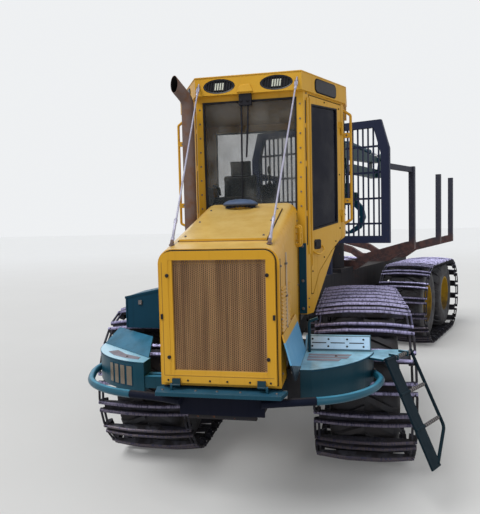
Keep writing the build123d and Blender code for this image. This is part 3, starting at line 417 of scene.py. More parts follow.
bolt_steel = Finish("bolt steel", Metallic=0.75)
tarnish = bolt_steel.noise(70, 3)
bolt_steel.tones(tarnish, (0.06, 0.055, 0.06), (0.25, 0.22, 0.21))
bolt_steel.set("Roughness", 0.35 + tarnish * 0.35)


def turn_to(point, out):
    """A place at a point whose z axis points out."""
    return Matrix.Translation(point) @ Vector(out).to_track_quat("Z", "Y").to_matrix().to_4x4()


def bolt(form, point, out, across=16, coat=0):
    """A hexagon head with its chamfer, on a washer."""
    place = turn_to(point, out)
    half = across / 2
    washer = [(half * 1.5, 0), (half * 1.5, across * 0.1), (half * 1.1, across * 0.12)]
    head = [(half * 1.15, 0), (half * 1.15, across * 0.55), (half * 0.95, across * 0.68)]
    form.turned(washer, 14, coat, place)
    form.turned(head, 6, coat, place)


# The rim's nuts and the hub's bolts: count, part of a step turned, circle, how far out, and size.
NUT_RINGS = ((12, 0, 190, 80, 30), (6, 0.5, 85, 150, 20))
for unit, bogie_y, place in BOGIES:
    nuts = Form()
    for side in (-1, 1):
        for step in (-WHEEL_STEP, WHEEL_STEP):
            for count, shift, circle, proud, across in NUT_RINGS:
                for index in range(count):
                    angle = 2 * pi * (index + shift) / count
                    y, z = bogie_y + step + circle * cos(angle), AXLE_Z + circle * sin(angle)
                    bolt(nuts, (side * (WHEEL_X + proud), y, z), (side, 0, 0), across)
    nuts.make(f"{unit}_wheel_nuts", f"{unit}_unit", [bolt_steel], place)


# Tracks.
# Forged cross shoes, each with two arched ribs worn bright on their crests, joined at both
# ends by heavy oval links. Guide brackets at the ends keep the loop on the tyres' shoulders.
# Higher up the loop the crests are painted brighter and lavender, and the shoes' tops take
# a blue-grey sheen: painted highlight and sky reflection. Low down the crests are darker,
# as painted shade and mud.
track_steel = Finish("track steel", Metallic=0.35)
clods = track_steel.ramp(track_steel.noise(11, 5), 0.40, 0.60)
body = track_steel.blend(clods, (0.014, 0.014, 0.024), (0.013, 0.011, 0.014))
# Upward faces above about 1.1 m take streaks of blue-grey: a painted sheen of sky.
top_sheen = track_steel.facing_up(0.6, 0.95) * track_steel.ramp(track_steel.noise(9, 4, (3, 1, 1)), 0.62, 0.40)
track_steel.tones(top_sheen * track_steel.beyond(2, 1.1, 0.25), body, (0.08, 0.08, 0.16))
track_steel.set("Roughness", 0.5 + clods * 0.4)
track_steel.set("Normal", track_steel.bump(track_steel.noise(48, 4) + clods * 1.5, 0.6, 0.004))

worn_steel = Finish("worn steel", Metallic=0.6)
scuffs = worn_steel.noise(16, 4, (4, 1, 1))
# Brighter, lavender and less grimy up the loop, a painted highlight and sky reflection; darker low down,
# painted shade and mud.
lit_height = worn_steel.ramp(worn_steel.axis(worn_steel.spot(), 2), 0.35, 1.15)
polish_and_highlight = worn_steel.blend(lit_height, (0.070, 0.056, 0.064), (0.35, 0.33, 0.53))
grimed = worn_steel.ramp(scuffs, 0.44, 0.64) * (1.0 - lit_height * 0.35)
worn_steel.tones(grimed, polish_and_highlight, (0.034, 0.032, 0.068))
worn_steel.set("Roughness", 0.28 + scuffs * 0.3)
worn_steel.set("Normal", worn_steel.bump(worn_steel.noise(90, 3), 0.3))

LOOP_RADIUS = 668
LOOP = 2 * 2 * WHEEL_STEP + 2 * pi * LOOP_RADIUS
SHOES = 28
FIRST_SHOE = 107
SHOE_HALF = 34
WEB = [(-372, 2), (372, 2), (372, 10), (175, 20), (-175, 20), (-372, 10)]
CHEEK = [(376, -58), (420, -40), (424, 24), (400, 36), (376, 30)]
RIB_X = (-425, -380, -310, -235, -150, -50, 50, 150, 235, 310, 380, 425)
RIB_Y, RIB_HIGH, RIB_FALL, RIB_LEVEL, RIB_SLOPE = 40, 62, 32, 130, 295
STUD_X = ((-140, 75), (-45, 150), (-95, 115))
LINK_X, LINK_Z, LINK_STRAIGHT, LINK_BEND, LINK_BAR = 400, 12, 62, 18, 11


def on_loop(along):
    """The place on the track's loop so far along it, with z pointing out of the loop."""
    along %= LOOP
    arc = pi * LOOP_RADIUS
    if along < 2 * WHEEL_STEP:
        y, z, turn = WHEEL_STEP - along, -LOOP_RADIUS, 180
    elif along < 2 * WHEEL_STEP + arc:
        angle = (along - 2 * WHEEL_STEP) / LOOP_RADIUS
        y, z = -WHEEL_STEP - LOOP_RADIUS * sin(angle), -LOOP_RADIUS * cos(angle)
        turn = 180 - degrees(angle)
    elif along < 4 * WHEEL_STEP + arc:
        y, z, turn = along - 3 * WHEEL_STEP - arc, LOOP_RADIUS, 0
    else:
        angle = (along - 4 * WHEEL_STEP - arc) / LOOP_RADIUS
        y, z = WHEEL_STEP + LOOP_RADIUS * sin(angle), LOOP_RADIUS * cos(angle)
        turn = -degrees(angle)
    return Matrix.Translation((0, y, z)) @ Matrix.Rotation(radians(turn), 4, "X")


def rib_height(x):
    """The arch of a rib: level over the middle, falling to the ends."""
    beyond = max(abs(x) - RIB_LEVEL, 0) / RIB_SLOPE
    return RIB_HIGH - RIB_FALL * beyond ** 1.35


def oval_link(form, place):
    """A closed link of round bar, lying along y."""
    path = []
    for index in range(16):
        angle = 2 * pi * index / 16
        straight = LINK_STRAIGHT if cos(angle) > 0 else -LINK_STRAIGHT
        path.append((LINK_BEND * sin(angle), straight + LINK_BEND * cos(angle), LINK_Z))
    form.tube(path, LINK_BAR, 7, 0, place, closed=True)


for unit, bogie_y, place in BOGIES:
    for side, hand in ((1, "left"), (-1, "right")):
        chain = Form()
        centre = Matrix.Translation((side * WHEEL_X, bogie_y, AXLE_Z))
        for shoe in range(SHOES):
            here = centre @ on_loop(FIRST_SHOE + shoe * LOOP / SHOES)
            for y in (-RIB_Y, RIB_Y):
                rings = []
                for x in RIB_X:
                    high = rib_height(x)
                    section = ((-19, 2), (-16, high - 12), (-10, high), (10, high), (16, high - 12), (19, 2))
                    rings.append([(x, y + dy, dz) for dy, dz in section])
                chain.loft(rings, 0, here, sides=[0, 1, 1, 1, 0, 0])
                for x in STUD_X[shoe % 3]:
                    high = rib_height(x)
                    stud = [(15, high - 14), (15, high - 3), (9, high - 0.4)]
                    chain.turned(stud, 8, 1, here @ Matrix.Translation((x, y, 0)))
            chain.prism(WEB, -SHOE_HALF, SHOE_HALF, "y", 0, here)
            for end in (-1, 1):
                for y in (-52, 40):
                    chain.prism([(end * u, v) for u, v in CHEEK], y, y + 12, "y", 0, here)
                x0, x1 = sorted((end * 366, end * 380))
                chain.slab(x0, x1, -52, 52, -58, 8, 0, here)
                link = centre @ on_loop(FIRST_SHOE + (shoe + 0.5) * LOOP / SHOES)
                oval_link(chain, link @ Matrix.Translation((end * LINK_X, 0, 0)))
        finishes = [track_steel, worn_steel]
        piece = chain.make(f"{unit}_{hand}_track_chain", f"{unit}_unit", finishes, place)
        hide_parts(f"{unit}_track_{hand}")


# Bonnet.
# Folded yellow sheet with rolled shoulders and a raised top panel, louvred on both sides.
# A sheathed cable runs down between the louvres, and a small tube rack sits on the shoulder.
# Its pale yellow tops are dust and a painted highlight.
yellow_paint = sprayed(
    "yellow paint", (0.57, 0.295, 0.016), (0.64, 0.37, 0.045),
    rust=0.72, mud_line=0.5, rough=0.36, dust_and_sheen=(0.86, 0.64, 0.24), dust_and_sheen_share=0.65, gloss=0.25, sky=0.7,
)
wear(yellow_paint, "hood_shell", "hood_top_panel", "cab_shell", "cab_roof", "cab_door", "grab_rails")

black_rubber = Finish("black rubber", Roughness=0.6, Specular_IOR_Level=0.15)
black_rubber.tones(black_rubber.noise(14, 4), (0.006, 0.006, 0.009), (0.026, 0.025, 0.027))
black_rubber.set("Normal", black_rubber.bump(black_rubber.noise(120, 2), 0.25, 0.001))
# A brownish yellow for the raised panel's front edge: a painted shadow line.
shadow_line_brown = Finish("painted shadow line", Roughness=0.7)
shadow_line_brown.tones(shadow_line_brown.noise(20, 4), (0.16, 0.075, 0.018), (0.28, 0.15, 0.04))

HOOD_LOW, HOOD_RISE = 2085, 0.26
HOOD_UP = (0, -0.25, 0.97)


def hood_z(y):
    """The height of the bonnet's sloping lid so far behind the nose."""
    return HOOD_LOW + HOOD_RISE * y


louvres = Form()
LOUVRE_ROWS, LOUVRE_PITCH, LOUVRE_LOW, LOUVRE_LONG = 12, 26, 1500, 204
LOUVRE_LIP = ((420, 14), (421, 17), (431, 6), (430, 3), (427, 3))
for side in (-1, 1):
    for y0 in (90, 350):
        for row in range(LOUVRE_ROWS):
            z = LOUVRE_LOW + row * LOUVRE_PITCH
            louvres.prism([(side * u, z + v) for u, v in LOUVRE_LIP], y0 - 4, y0 + LOUVRE_LONG, "y")
louvres.make("bonnet_louvre_lips", "front_unit", [yellow_paint])

trim = Form()
for side in (-1, 1):
    edge = [(y, hood_z(y) + 1) for y in (160, 1055)] + [(y, hood_z(y) + 7) for y in (1055, 160)]
    x0, x1 = sorted((side * 316.5, side * 321))
    trim.prism(edge, x0, x1, "x")
    x0, x1 = sorted((side * 415, side * 422.5))
    for y0, y1, top in ((40, 46, 2010), (1236, 1241, 2330)):
        trim.prism([(y0, 1175), (y1, 1175), (y1, top), (y0, top)], x0, x1, "x")
front_z, back_z = hood_z(160), hood_z(165)
# The strip along the raised panel's front edge is brownish yellow, a painted shadow line.
trim.prism([(160, front_z), (165, back_z), (165, back_z + 5), (160, front_z + 5)], -321, 321, "x", 1)
trim.make("bonnet_seals", "front_unit", [black_rubber, shadow_line_brown])

fasteners = Form()
for side in (-1, 1):
    for y in (230, 620, 990):
        bolt(fasteners, (side * 285, y, hood_z(y) + 18), HOOD_UP, 13)
    for y, z in ((60, 1230), (60, 1600), (60, 1960), (620, 1230), (1215, 1230), (1215, 1700), (1215, 2260)):
        bolt(fasteners, (side * 420, y, z), (side, 0, 0), 13)
fasteners.make("bonnet_bolts", "front_unit", [bolt_steel])


def bent(points, radius, steps=5):
    """A path with its corners rounded."""
    points = [Vector(p) for p in points]
    path = [points[0]]
    for before, corner, after in zip(points, points[1:], points[2:]):
        reach = min(radius, (before - corner).length * 0.49, (after - corner).length * 0.49)
        start = corner + (before - corner).normalized() * reach
        end = corner + (after - corner).normalized() * reach
        for step in range(steps + 1):
            t = step / steps
            path.append(start * (1 - t) ** 2 + corner * 2 * t * (1 - t) + end * t ** 2)
    return path + [points[-1]]


conduit = Form()
conduit.tube(bent([(424, 322, 1215), (428, 322, 1500), (428, 330, 1900), (424, 345, 2035)], 60), 6, 8, 0)
conduit.tube(bent([(424, 300, 1215), (427, 306, 1520), (427, 318, 1880), (423, 330, 2030)], 60), 4, 8, 0)
for z in (1260, 1490, 1720, 1950):
    conduit.slab(419, 436, 290, 345, z, z + 14, 1)
pale_sheath = Finish("pale sheath", Roughness=0.5)
pale_sheath.tones(pale_sheath.noise(20, 4), (0.30, 0.22, 0.15), (0.52, 0.42, 0.30))
conduit.make("bonnet_side_conduit", "front_unit", [pale_sheath, bolt_steel], soften=1)

rack = Form()
rack.tube([(465, 1128, 2085), (465, 1172, 2085)], 9, 8)
for z in (2090, 2150):
    rack.tube([(421, 1150, z), (465, 1150, z)], 8, 8)
rack.tube(bent([(421, 1090, 2060), (458, 1090, 2060), (458, 1090, 2205), (421, 1090, 2205)], 18), 9, 8)
for z in (2108, 2156):
    rack.tube([(458, 1090, z), (462, 1150, z)], 7, 8)
rack.make("bonnet_shoulder_rack", "front_unit", [yellow_paint])


# Grille.
# A yellow door in a rounded frame, hinged at its foot, round a sheet of tan punched steel.
# Quarter turn knobs hold it shut. The sheet's small round holes stand in staggered columns.
# Its pale yellow tops are dust and a painted highlight.
door_paint = sprayed(
    "grille door paint", (0.53, 0.275, 0.015), (0.58, 0.33, 0.04),
    rust=0.72, mud_line=0.5, rough=0.36, dust_and_sheen=(0.74, 0.5, 0.14), dust_and_sheen_share=0.5, gloss=0.25,
)
# The seams above the door's foot and beside its edge strip, and the front of its teal hinge
# tabs, in metres. The reaches are squares of the distance from a seam's middle.
FOOT_SEAM_Z, EDGE_SEAM_X, EDGE_SEAM_TOP, TABS_Y = 1.222, -1.226, 2.0, -4.8546
SEAM_REACH, FOOT_SEAM_REACH = 7e-6, 0.144
face_x, face_z = door_paint.axis(door_paint.spot(), 0), door_paint.axis(door_paint.spot(), 2)


def seam_at(place, middle):
    """1 on a thin line where the place is at the seam's middle."""
    return door_paint.ramp(SEAM_REACH - (place - middle) ** 2.0, 0, 5e-6)


foot_seam = seam_at(face_z, FOOT_SEAM_Z)
foot_seam = foot_seam * door_paint.ramp(FOOT_SEAM_REACH - (face_x - MIDDLE_X) ** 2.0, 0, 1e-4)
edge_seam = seam_at(face_x, EDGE_SEAM_X) * door_paint.beyond(2, FOOT_SEAM_Z)
edge_seam = edge_seam * door_paint.beyond(2, EDGE_SEAM_TOP, -0.004)
seamed = door_paint.blend((foot_seam + edge_seam) * 0.75, door_paint.body, (0.10, 0.045, 0.018))
door_paint.tones(door_paint.beyond(1, TABS_Y, -0.001), seamed, (0.004, 0.030, 0.045))
wear(door_paint, "grille_door")

sheet_paint = Finish("sheet paint", Metallic=0.25)
bands = sheet_paint.ramp(sheet_paint.noise(1.0, 3, (16, 1, 0.5)), 0.35, 0.65)
sheet_paint.tones(bands, (0.165, 0.086, 0.038), (0.33, 0.19, 0.085))
sheet_paint.set("Roughness", 0.4 + sheet_paint.noise(60, 3) * 0.3)
sheet_paint.set("Normal", sheet_paint.bump(sheet_paint.noise(90, 3), 0.3, 0.001))

COLUMNS, ROWS, HOLE = 48, 60, 4.9
SHEET_HALF, SHEET_LOW, SHEET_TOP = 335, 1232, 2012
SHEET_FRONT, SHEET_BACK, STRIP_FRONT = -21.5, -15.5, -38
HOLES_LEFT, HOLES_RIGHT, HOLES_LOW, HOLES_TOP = -308, 328, 1258, 2008
column_step = (HOLES_RIGHT - HOLES_LEFT) / COLUMNS
row_step = (HOLES_TOP - HOLES_LOW) / ROWS
sheet = Form()
for y, through in ((SHEET_FRONT, False), (SHEET_BACK, True)):
    for column in range(COLUMNS):
        x0 = HOLES_LEFT + column * column_step
        x1 = x0 + column_step
        odd = column % 2
        if odd:
            for z0 in (HOLES_LOW, HOLES_TOP - row_step / 2):
                z1 = z0 + row_step / 2
                sheet.add([(x0, y, z0), (x1, y, z0), (x1, y, z1), (x0, y, z1)], [(0, 1, 2, 3)], [0])
        for row in range(ROWS - odd):
            z0 = HOLES_LOW + (row + odd / 2) * row_step
            z1 = z0 + row_step
            middle_x, middle_z = (x0 + x1) / 2, z0 + row_step / 2
            rim = [(x1, middle_z), (x1, z1), (x0, z1), (x0, middle_z), (x0, z0), (x1, z0)]
            hole = [(middle_x + HOLE * cos(k * pi / 3), middle_z + HOLE * sin(k * pi / 3)) for k in range(6)]
            points = [(u, y, v) for u, v in rim + hole]
            faces = [(k, (k + 1) % 6, 6 + (k + 1) % 6, 6 + k) for k in range(6)]
            if through:
                points += [(u, SHEET_FRONT, v) for u, v in hole]
                faces += [(6 + k, 6 + (k + 1) % 6, 12 + (k + 1) % 6, 12 + k) for k in range(6)]
            sheet.add(points, faces, [0] * len(faces))
for x0, x1, z0, z1 in (
    (-SHEET_HALF, HOLES_LEFT, HOLES_LOW, HOLES_TOP), (HOLES_RIGHT, SHEET_HALF, HOLES_LOW, HOLES_TOP),
    (-SHEET_HALF, SHEET_HALF, SHEET_LOW, HOLES_LOW), (-SHEET_HALF, SHEET_HALF, HOLES_TOP, SHEET_TOP),
):
    sheet.slab(x0, x1, SHEET_FRONT, SHEET_BACK, z0, z1)
sheet.slab(-SHEET_HALF, HOLES_LEFT, STRIP_FRONT, SHEET_FRONT, SHEET_LOW, SHEET_TOP, 1)
sheet.slab(HOLES_LEFT, SHEET_HALF, STRIP_FRONT, SHEET_FRONT, SHEET_LOW, HOLES_LOW, 1)
grille = sheet.make("punched_grille_sheet", "grille_door", [sheet_paint, door_paint], weld=True)
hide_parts("grille_sheet")

DOOR_FACE = -40.5
knobs = Form()
for x, z in ((-343, 1908), (-343, 1348), (343, 1908), (343, 1348)):
    knob = [(13, 0), (13, 4), (9, 6), (9, 10), (5, 12)]
    knobs.turned(knob, 16, 0, turn_to((x, DOOR_FACE, z), (0, -1, 0)))
for side in (-1, 1):
    x0, x1 = sorted((side * 378, side * 394))
    knobs.slab(x0, x1, -48, -40, 1610, 1645)
    for x in (60, 215, 355):
        bolt(knobs, (side * x, DOOR_FACE, 1190), (0, -1, 0), 10)
knobs.make("grille_door_knobs", "grille_door", [black_rubber], soften=1)

DOOR_HALF, DOOR_TOP, DOOR_ROUND = 395, 2072, 80
SEAL_GAP, SEAL_Y, SEAL_FOOT, SEAL_STRAIGHT = 4.5, -1, 1165, 1900
seal_x = DOOR_HALF + SEAL_GAP
seal_round = DOOR_ROUND + SEAL_GAP
seal_path = [(-seal_x, SEAL_Y, SEAL_FOOT), (-seal_x, SEAL_Y, SEAL_STRAIGHT)]
for side, turn in ((-1, pi), (1, pi / 2)):
    for step in range(9):
        angle = turn - pi / 2 * step / 8
        x = side * (DOOR_HALF - DOOR_ROUND) + seal_round * cos(angle)
        seal_path.append((x, SEAL_Y, DOOR_TOP - DOOR_ROUND + seal_round * sin(angle)))
seal_path += [(seal_x, SEAL_Y, SEAL_STRAIGHT), (seal_x, SEAL_Y, SEAL_FOOT)]
seal = Form()
seal.tube(seal_path, 4, 8, closed=True)
seal.make("grille_seal", "front_unit", [black_rubber])


# Fenders.
# Welded teal sheet over each front track, with a level step and a curved face below it.
# Dust and a painted pale blue sheen of sky lie on the steps. The left one is painted darker than
# the right, as shade; its inner wall is pale blue under a yellow strip, and its tip is painted
# near black as shade.
# Its pale blue tops are dust and a painted sky sheen.
teal_paint = sprayed(
    "teal paint", (0.004, 0.042, 0.066), (0.008, 0.062, 0.095),
    rust=0.72, mud_line=0.6, rough=0.34, dust_and_sheen=(0.05, 0.25, 0.42), dust_and_sheen_share=1.0, gloss=0.2,
)
# The step's top lies between these heights, in metres. There it is painted pale blue, a
# painted reflection of the sky, and glossed.
STEP_LOW, STEP_HIGH = 1.196, 1.206
step_top_reflection = teal_paint.beyond(2, STEP_LOW, 0.002) * teal_paint.beyond(2, STEP_HIGH, -0.002)
step_top_reflection = step_top_reflection * teal_paint.facing_up(0.98, 0.999)
teal_paint.tones(step_top_reflection * 0.95, teal_paint.body, (0.40, 0.78, 1.0))
teal_paint.set("Coat Weight", step_top_reflection)
wear(teal_paint, "fender_right")

# Darker than the teal paint, as painted shade on the sides; its pale blue tops are dust and a painted sky
# sheen.
fender_shade_and_sheen_paint = sprayed(
    "left fender paint with painted shade and sheen", (0.003, 0.028, 0.044), (0.006, 0.046, 0.070),
    rust=0.72, mud_line=0.6, rough=0.34, dust_and_sheen=(0.36, 0.76, 1.0), dust_and_sheen_share=1.0, gloss=0.2, sky=1.0,
)
# The inner wall's edge and foot and its strip's foot, in metres. Its tip, ahead of the
# sloping line, is painted near black as shade.
INNER_X, INNER_LOW, STRIP_LOW, SHADED_TIP_LOW, SHADE_LINE_SLOPE = -0.325, 1.203, 1.445, 0.9, 0.27
slope_line = fender_shade_and_sheen_paint.axis(fender_shade_and_sheen_paint.spot(), 2) + fender_shade_and_sheen_paint.axis(fender_shade_and_sheen_paint.spot(), 1) * SHADE_LINE_SLOPE
inward = fender_shade_and_sheen_paint.beyond(0, INNER_X, -0.004)
inner = fender_shade_and_sheen_paint.beyond(2, INNER_LOW) * inward * fender_shade_and_sheen_paint.ramp(slope_line, 0.0, 0.004)
inner_wall = fender_shade_and_sheen_paint.blend(inner, fender_shade_and_sheen_paint.body, (0.12, 0.34, 0.56))
inner_wall = fender_shade_and_sheen_paint.blend(inner * fender_shade_and_sheen_paint.beyond(2, STRIP_LOW), inner_wall, (0.60, 0.34, 0.05))
shaded_tip = inward * fender_shade_and_sheen_paint.ramp(slope_line, 0.004, 0.0) * fender_shade_and_sheen_paint.beyond(2, SHADED_TIP_LOW)
fender_shade_and_sheen_paint.tones(shaded_tip * 0.85, inner_wall, (0.003, 0.005, 0.010))
wear(fender_shade_and_sheen_paint, "fender_left")


# Bumper and guard tubes.
# A teal plate across the nose, with a plate hung below it and two small eyes on top. A bent
# tube runs from it round each fender. The hung plate and the tubes near the middle are painted
# near black: painted shade, with grime. The plate's and tubes' pale blue tops are dust and a
# painted sky sheen.
bumper_paint = sprayed(
    "bumper paint", (0.004, 0.040, 0.066), (0.007, 0.058, 0.092),
    rust=0.70, mud_line=0.5, rough=0.34, dust_and_sheen=(0.03, 0.11, 0.18), dust_and_sheen_share=0.9, gloss=0.2,
)
guard_paint = sprayed(
    "guard tube paint", (0.006, 0.066, 0.105), (0.010, 0.10, 0.155),
    rust=0.70, mud_line=0.5, rough=0.34, dust_and_sheen=(0.06, 0.30, 0.46), dust_and_sheen_share=0.9, gloss=0.3,
)
shade_and_grime_paint = sprayed(
    "painted shade and grime", (0.002, 0.004, 0.013), (0.008, 0.008, 0.016),
    rust=0.68, mud_line=0.9, rough=0.6, gloss=0.10,
)
BUMPER_LOW, BUMPER_TOP = 1096, 1123
GUARD_Z, GUARD_RADIUS, GUARD_BEND, SHADE_AND_GRIME_HALF = 1035, 28.5, 240, 700
GUARD_RIGHT = ((-280, -12), (-480, 60), (-860, 130), (-1135, 330), (-1270, 700), (-1250, 985))
GUARD_LEFT = ((280, -12), (450, 45), (800, 150), (1030, 400), (1108, 690), (1050, 860))
guards = Form()
plate = [(-460, 20), (-430, -110), (430, -110), (460, 20), (300, 60), (-300, 60)]
guards.prism(plate, BUMPER_LOW, BUMPER_TOP)
# The hung plate is painted near black as shade.
guards.slab(-300, 300, 21, 39, 932, BUMPER_LOW + 1, 2)
for x in (-331, 331):
    guards.slab(x - 7.5, x + 7.5, -61, -43, 1118, 1160)
    guards.tube([(x - 7.5, -52, 1160), (x + 7.5, -52, 1160)], 9, 16)
for plan in (GUARD_RIGHT, GUARD_LEFT):
    line = bent([(x, y, GUARD_Z) for x, y in plan], GUARD_BEND)
    # Near the middle the tube is painted near black, as shade and grime.
    split = max(i for i, point in enumerate(line) if abs(point.x) < SHADE_AND_GRIME_HALF)
    guards.tube(line[:split + 1], GUARD_RADIUS, 20, 2)
    guards.tube(line[split:], GUARD_RADIUS, 20, 1)
finishes = [bumper_paint, guard_paint, shade_and_grime_paint]
piece = guards.make("bumper_with_guards", "front_unit", finishes, soften=2)
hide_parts("bumper")

bumper_bolts = Form()
for point in (
    (-395, -55, 1120), (-160, -55, 1120), (-10, -55, 1120), (150, -55, 1120), (395, -55, 1120),
    (1052, 855, 1064), (-1252, 975, 1064), (760, 700, 1200), (-890, 505, 1200),
):
    bolt(bumper_bolts, point, (0, 0, 1), 15)
bumper_bolts.make("bumper_bolts", "front_unit", [bolt_steel])


# Grip pads and tread plate.
# Grey mats of grit are glued on the steps where boots land. A pale steel plate with three
# rubber bars is bolted on the left fender's slope, below the cab door.
grip_pad = Finish("grip pad", Roughness=0.85)
grip_pad.tones(grip_pad.noise(9, 4), (0.17, 0.16, 0.19), (0.36, 0.33, 0.39))
grip_pad.set("Normal", grip_pad.bump(grip_pad.noise(260, 2), 0.8))
PAD_LOW, PAD_TOP = 1200, 1203
pads = Form()
for y0, y1, x1 in ((548, 600, 800), (628, 680, 860), (708, 760, 880)):
    pads.prism([(545, y0), (x1 - 20, y0), (x1, y1), (545, y1)], PAD_LOW, PAD_TOP)
curved_pad = [(-1125, 672), (-1030, 560), (-880, 470), (-770, 440), (-775, 500), (-930, 585), (-1060, 720)]
pads.prism(curved_pad, PAD_LOW, PAD_TOP)
pads.make("fender_grip_pads", "front_unit", [grip_pad])

pale_plate = sprayed(
    "pale plate", (0.40, 0.60, 0.80), (0.52, 0.50, 0.44),
    rust=0.68, mud_line=0.6, rough=0.45, dust_and_sheen=(0.5, 0.5, 0.5), dust_and_sheen_share=0.3,
)
tread = Form()
slope = Matrix.Translation((767, 932, 1252)) @ Matrix.Rotation(atan2(100, 125), 4, "X")
tread.slab(-240, 255, -63, 66, 1, 5, 0, slope)
for x in (-150, 0, 150):
    tread.slab(x - 58, x + 58, -6, 2, 5, 8, 1, slope)
for x in (-205, -75, 75, 205):
    for y in (-38, 36):
        bolt(tread, slope @ Vector((x, y, 5)), slope.to_3x3() @ Vector((0, 0, 1)), 12, 1)
tread.make("fender_left_tread", "front_unit", [pale_plate, black_rubber], soften=0.8)


# Lens plates.
# Four ribbed amber lenses in dark frames are screwed to the right fender's curved face. A
# thin dark strip closes the edge under the step of both fenders.
lens = Finish("amber lens", Roughness=0.25)
lens.tones(lens.noise(12, 3), (0.11, 0.085, 0.065), (0.20, 0.165, 0.12))
lens.set("Normal", lens.bump(lens.wave(2, 420), 0.25, 0.001))
# Its pale blue tops are dust and a painted sky sheen.
dark_teal = sprayed(
    "dark teal paint", (0.003, 0.035, 0.064), (0.006, 0.049, 0.088),
    rust=0.71, mud_line=0.7, rough=0.42, dust_and_sheen=(0.05, 0.15, 0.24), dust_and_sheen_share=0.8, gloss=0.12,
)


def circle_through(a, b, c):
    """Centre and radius of the circle through three points in plan."""
    d = 2 * (a[0] * (b[1] - c[1]) + b[0] * (c[1] - a[1]) + c[0] * (a[1] - b[1]))
    squares = [p[0] ** 2 + p[1] ** 2 for p in (a, b, c)]
    x = (squares[0] * (b[1] - c[1]) + squares[1] * (c[1] - a[1]) + squares[2] * (a[1] - b[1])) / d
    y = (squares[0] * (c[0] - b[0]) + squares[1] * (a[0] - c[0]) + squares[2] * (b[0] - a[0])) / d
    return x, y, hypot(a[0] - x, a[1] - y)


def heading(circle, x, y):
    """The direction from the circle's centre to a point in plan, in degrees."""
    return degrees(atan2(y - circle[1], x - circle[0]))


def curved_plate(form, circle, start, end, z0, z1, proud, coat, steps=6):
    """A plate on a curved face between two headings, standing a little proud."""
    x, y, radius = circle
    rings = []
    for step in range(steps + 1):
        angle = radians(start + (end - start) * step / steps)
        ring = []
        for r, z in ((radius - 1, z0), (radius + proud, z0), (radius + proud, z1), (radius - 1, z1)):
            ring.append((x + r * cos(angle), y + r * sin(angle), z))
        rings.append(ring)
    form.loft(rings, coat)


right_sweep = circle_through((-760, 360), (-1120, 580), (-1300, 1000))
left_sweep = circle_through((600, 285), (905, 545), (1050, 880))
plates = Form()
for x, width in ((-1008, 52), (-950, 56), (-888, 58), (-820, 64)):
    y = right_sweep[1] - (right_sweep[2] ** 2 - (x - right_sweep[0]) ** 2) ** 0.5
    middle = heading(right_sweep, x, y)
    half = degrees(width / 2 / right_sweep[2])
    curved_plate(plates, right_sweep, middle - half, middle + half, 1004, 1170, 3, 1)
    curved_plate(plates, right_sweep, middle - half * 0.8, middle + half * 0.8, 1012, 1162, 5, 0)
for circle, start, end in ((right_sweep, (-760, 360), (-1290, 975)), (left_sweep, (600, 285), (1048, 870))):
    curved_plate(plates, circle, heading(circle, *start), heading(circle, *end), 1188, 1199, 4, 1, 18)
plates.make("fender_lens_plates", "front_unit", [lens, dark_teal])


# Post between bonnet and cab.
# A dark teal channel of folded steel, open to the back, stands on the frame in front of
# the cab's left corner. Three plates are welded across it, with a bolt above each.
post = Form()
channel_plan = [
    (428, 1296), (492, 1296), (492, 1326), (484, 1326), (484, 1304), (436, 1304), (436, 1326), (428, 1326),
]
post.prism(channel_plan, 1432, 2060)
for z in (1452, 1700, 2010):
    post.slab(436, 484, 1300, 1326, z, z + 8)
    bolt(post, (460, 1296, z + 26), (0, -1, 0), 18, 1)
post.make("cab_front_post", "front_unit", [dark_teal, bolt_steel], soften=1)


# Flap inside the left fender.
# A black rubber sheet hangs between the fender and the frame, a dark sheet put in the gap
# there as painted shade. Two bolts hold its top edge.
shade_flap = Form()
shade_flap.prism([(426, 262), (518, 262), (518, 270), (426, 270)], 985, 1205)
for x in (462, 508):
    bolt(shade_flap, (x, 262, 1185), (0, -1, 0), 12, 1)
shade_flap.make("fender_left_flap", "front_unit", [black_rubber, bolt_steel], soften=1)


# Tool box.
# A dark teal sheet box over the right track, with a sloping lid, a folded rim round it
# and two latches on its front.
wear(dark_teal, "tool_box")
RIM_FACE, BOX_FACE = 994, 1000
box_rim = Form()
lid = [(-1104, 1602), (-1104, 1622), (-424, 1765), (-424, 1745)]
box_rim.prism(lid, RIM_FACE, BOX_FACE, "y")
box_rim.prism([(RIM_FACE, 1340), (BOX_FACE, 1340), (BOX_FACE, 1612), (RIM_FACE, 1612)], -1098, -1086, "x")
for x, z in ((-960, 1590), (-600, 1665)):
    box_rim.slab(x - 16, x + 16, 988, BOX_FACE, z - 40, z, 1)
    box_rim.tube([(x - 12, 986, z - 30), (x + 12, 986, z - 30)], 4, 8, 1)
box_rim.make("tool_box_rim", "front_unit", [dark_teal, bolt_steel], soften=1)


# Boarding ladder.
# A folded dark plate stile on one side and a round bar on the other, with round rungs.
# Ribbed sleeves on the rungs give the boot grip.
ladder_paint = sprayed(
    "ladder paint", (0.002, 0.009, 0.015), (0.004, 0.014, 0.022),
    rust=0.71, mud_line=0.1, rough=0.5, dust_and_sheen=(0.01, 0.03, 0.04), dust_and_sheen_share=0.5, gloss=0.08,
)
wear(ladder_paint, "ladder")

LADDER_TURN, LADDER_LEAN, RUNG_STEP = 58, -26, 270
LADDER = FRONT @ Matrix.Translation((1240, 825, 1185)) @ Matrix.Rotation(radians(LADDER_TURN), 4, "Z")
LADDER = LADDER @ Matrix.Rotation(radians(LADDER_LEAN), 4, "X")
sleeves = Form()
for z in (-2 * RUNG_STEP, -RUNG_STEP, 0):
    for x in range(-60, 151, 30):
        sleeves.turned([(13.2, 0), (15, 3), (15, 17), (13.2, 20)], 12, 0, turn_to((x, 0, z), (1, 0, 0)))
sleeves.make("ladder_grip_sleeves", "ladder", [bolt_steel], LADDER)


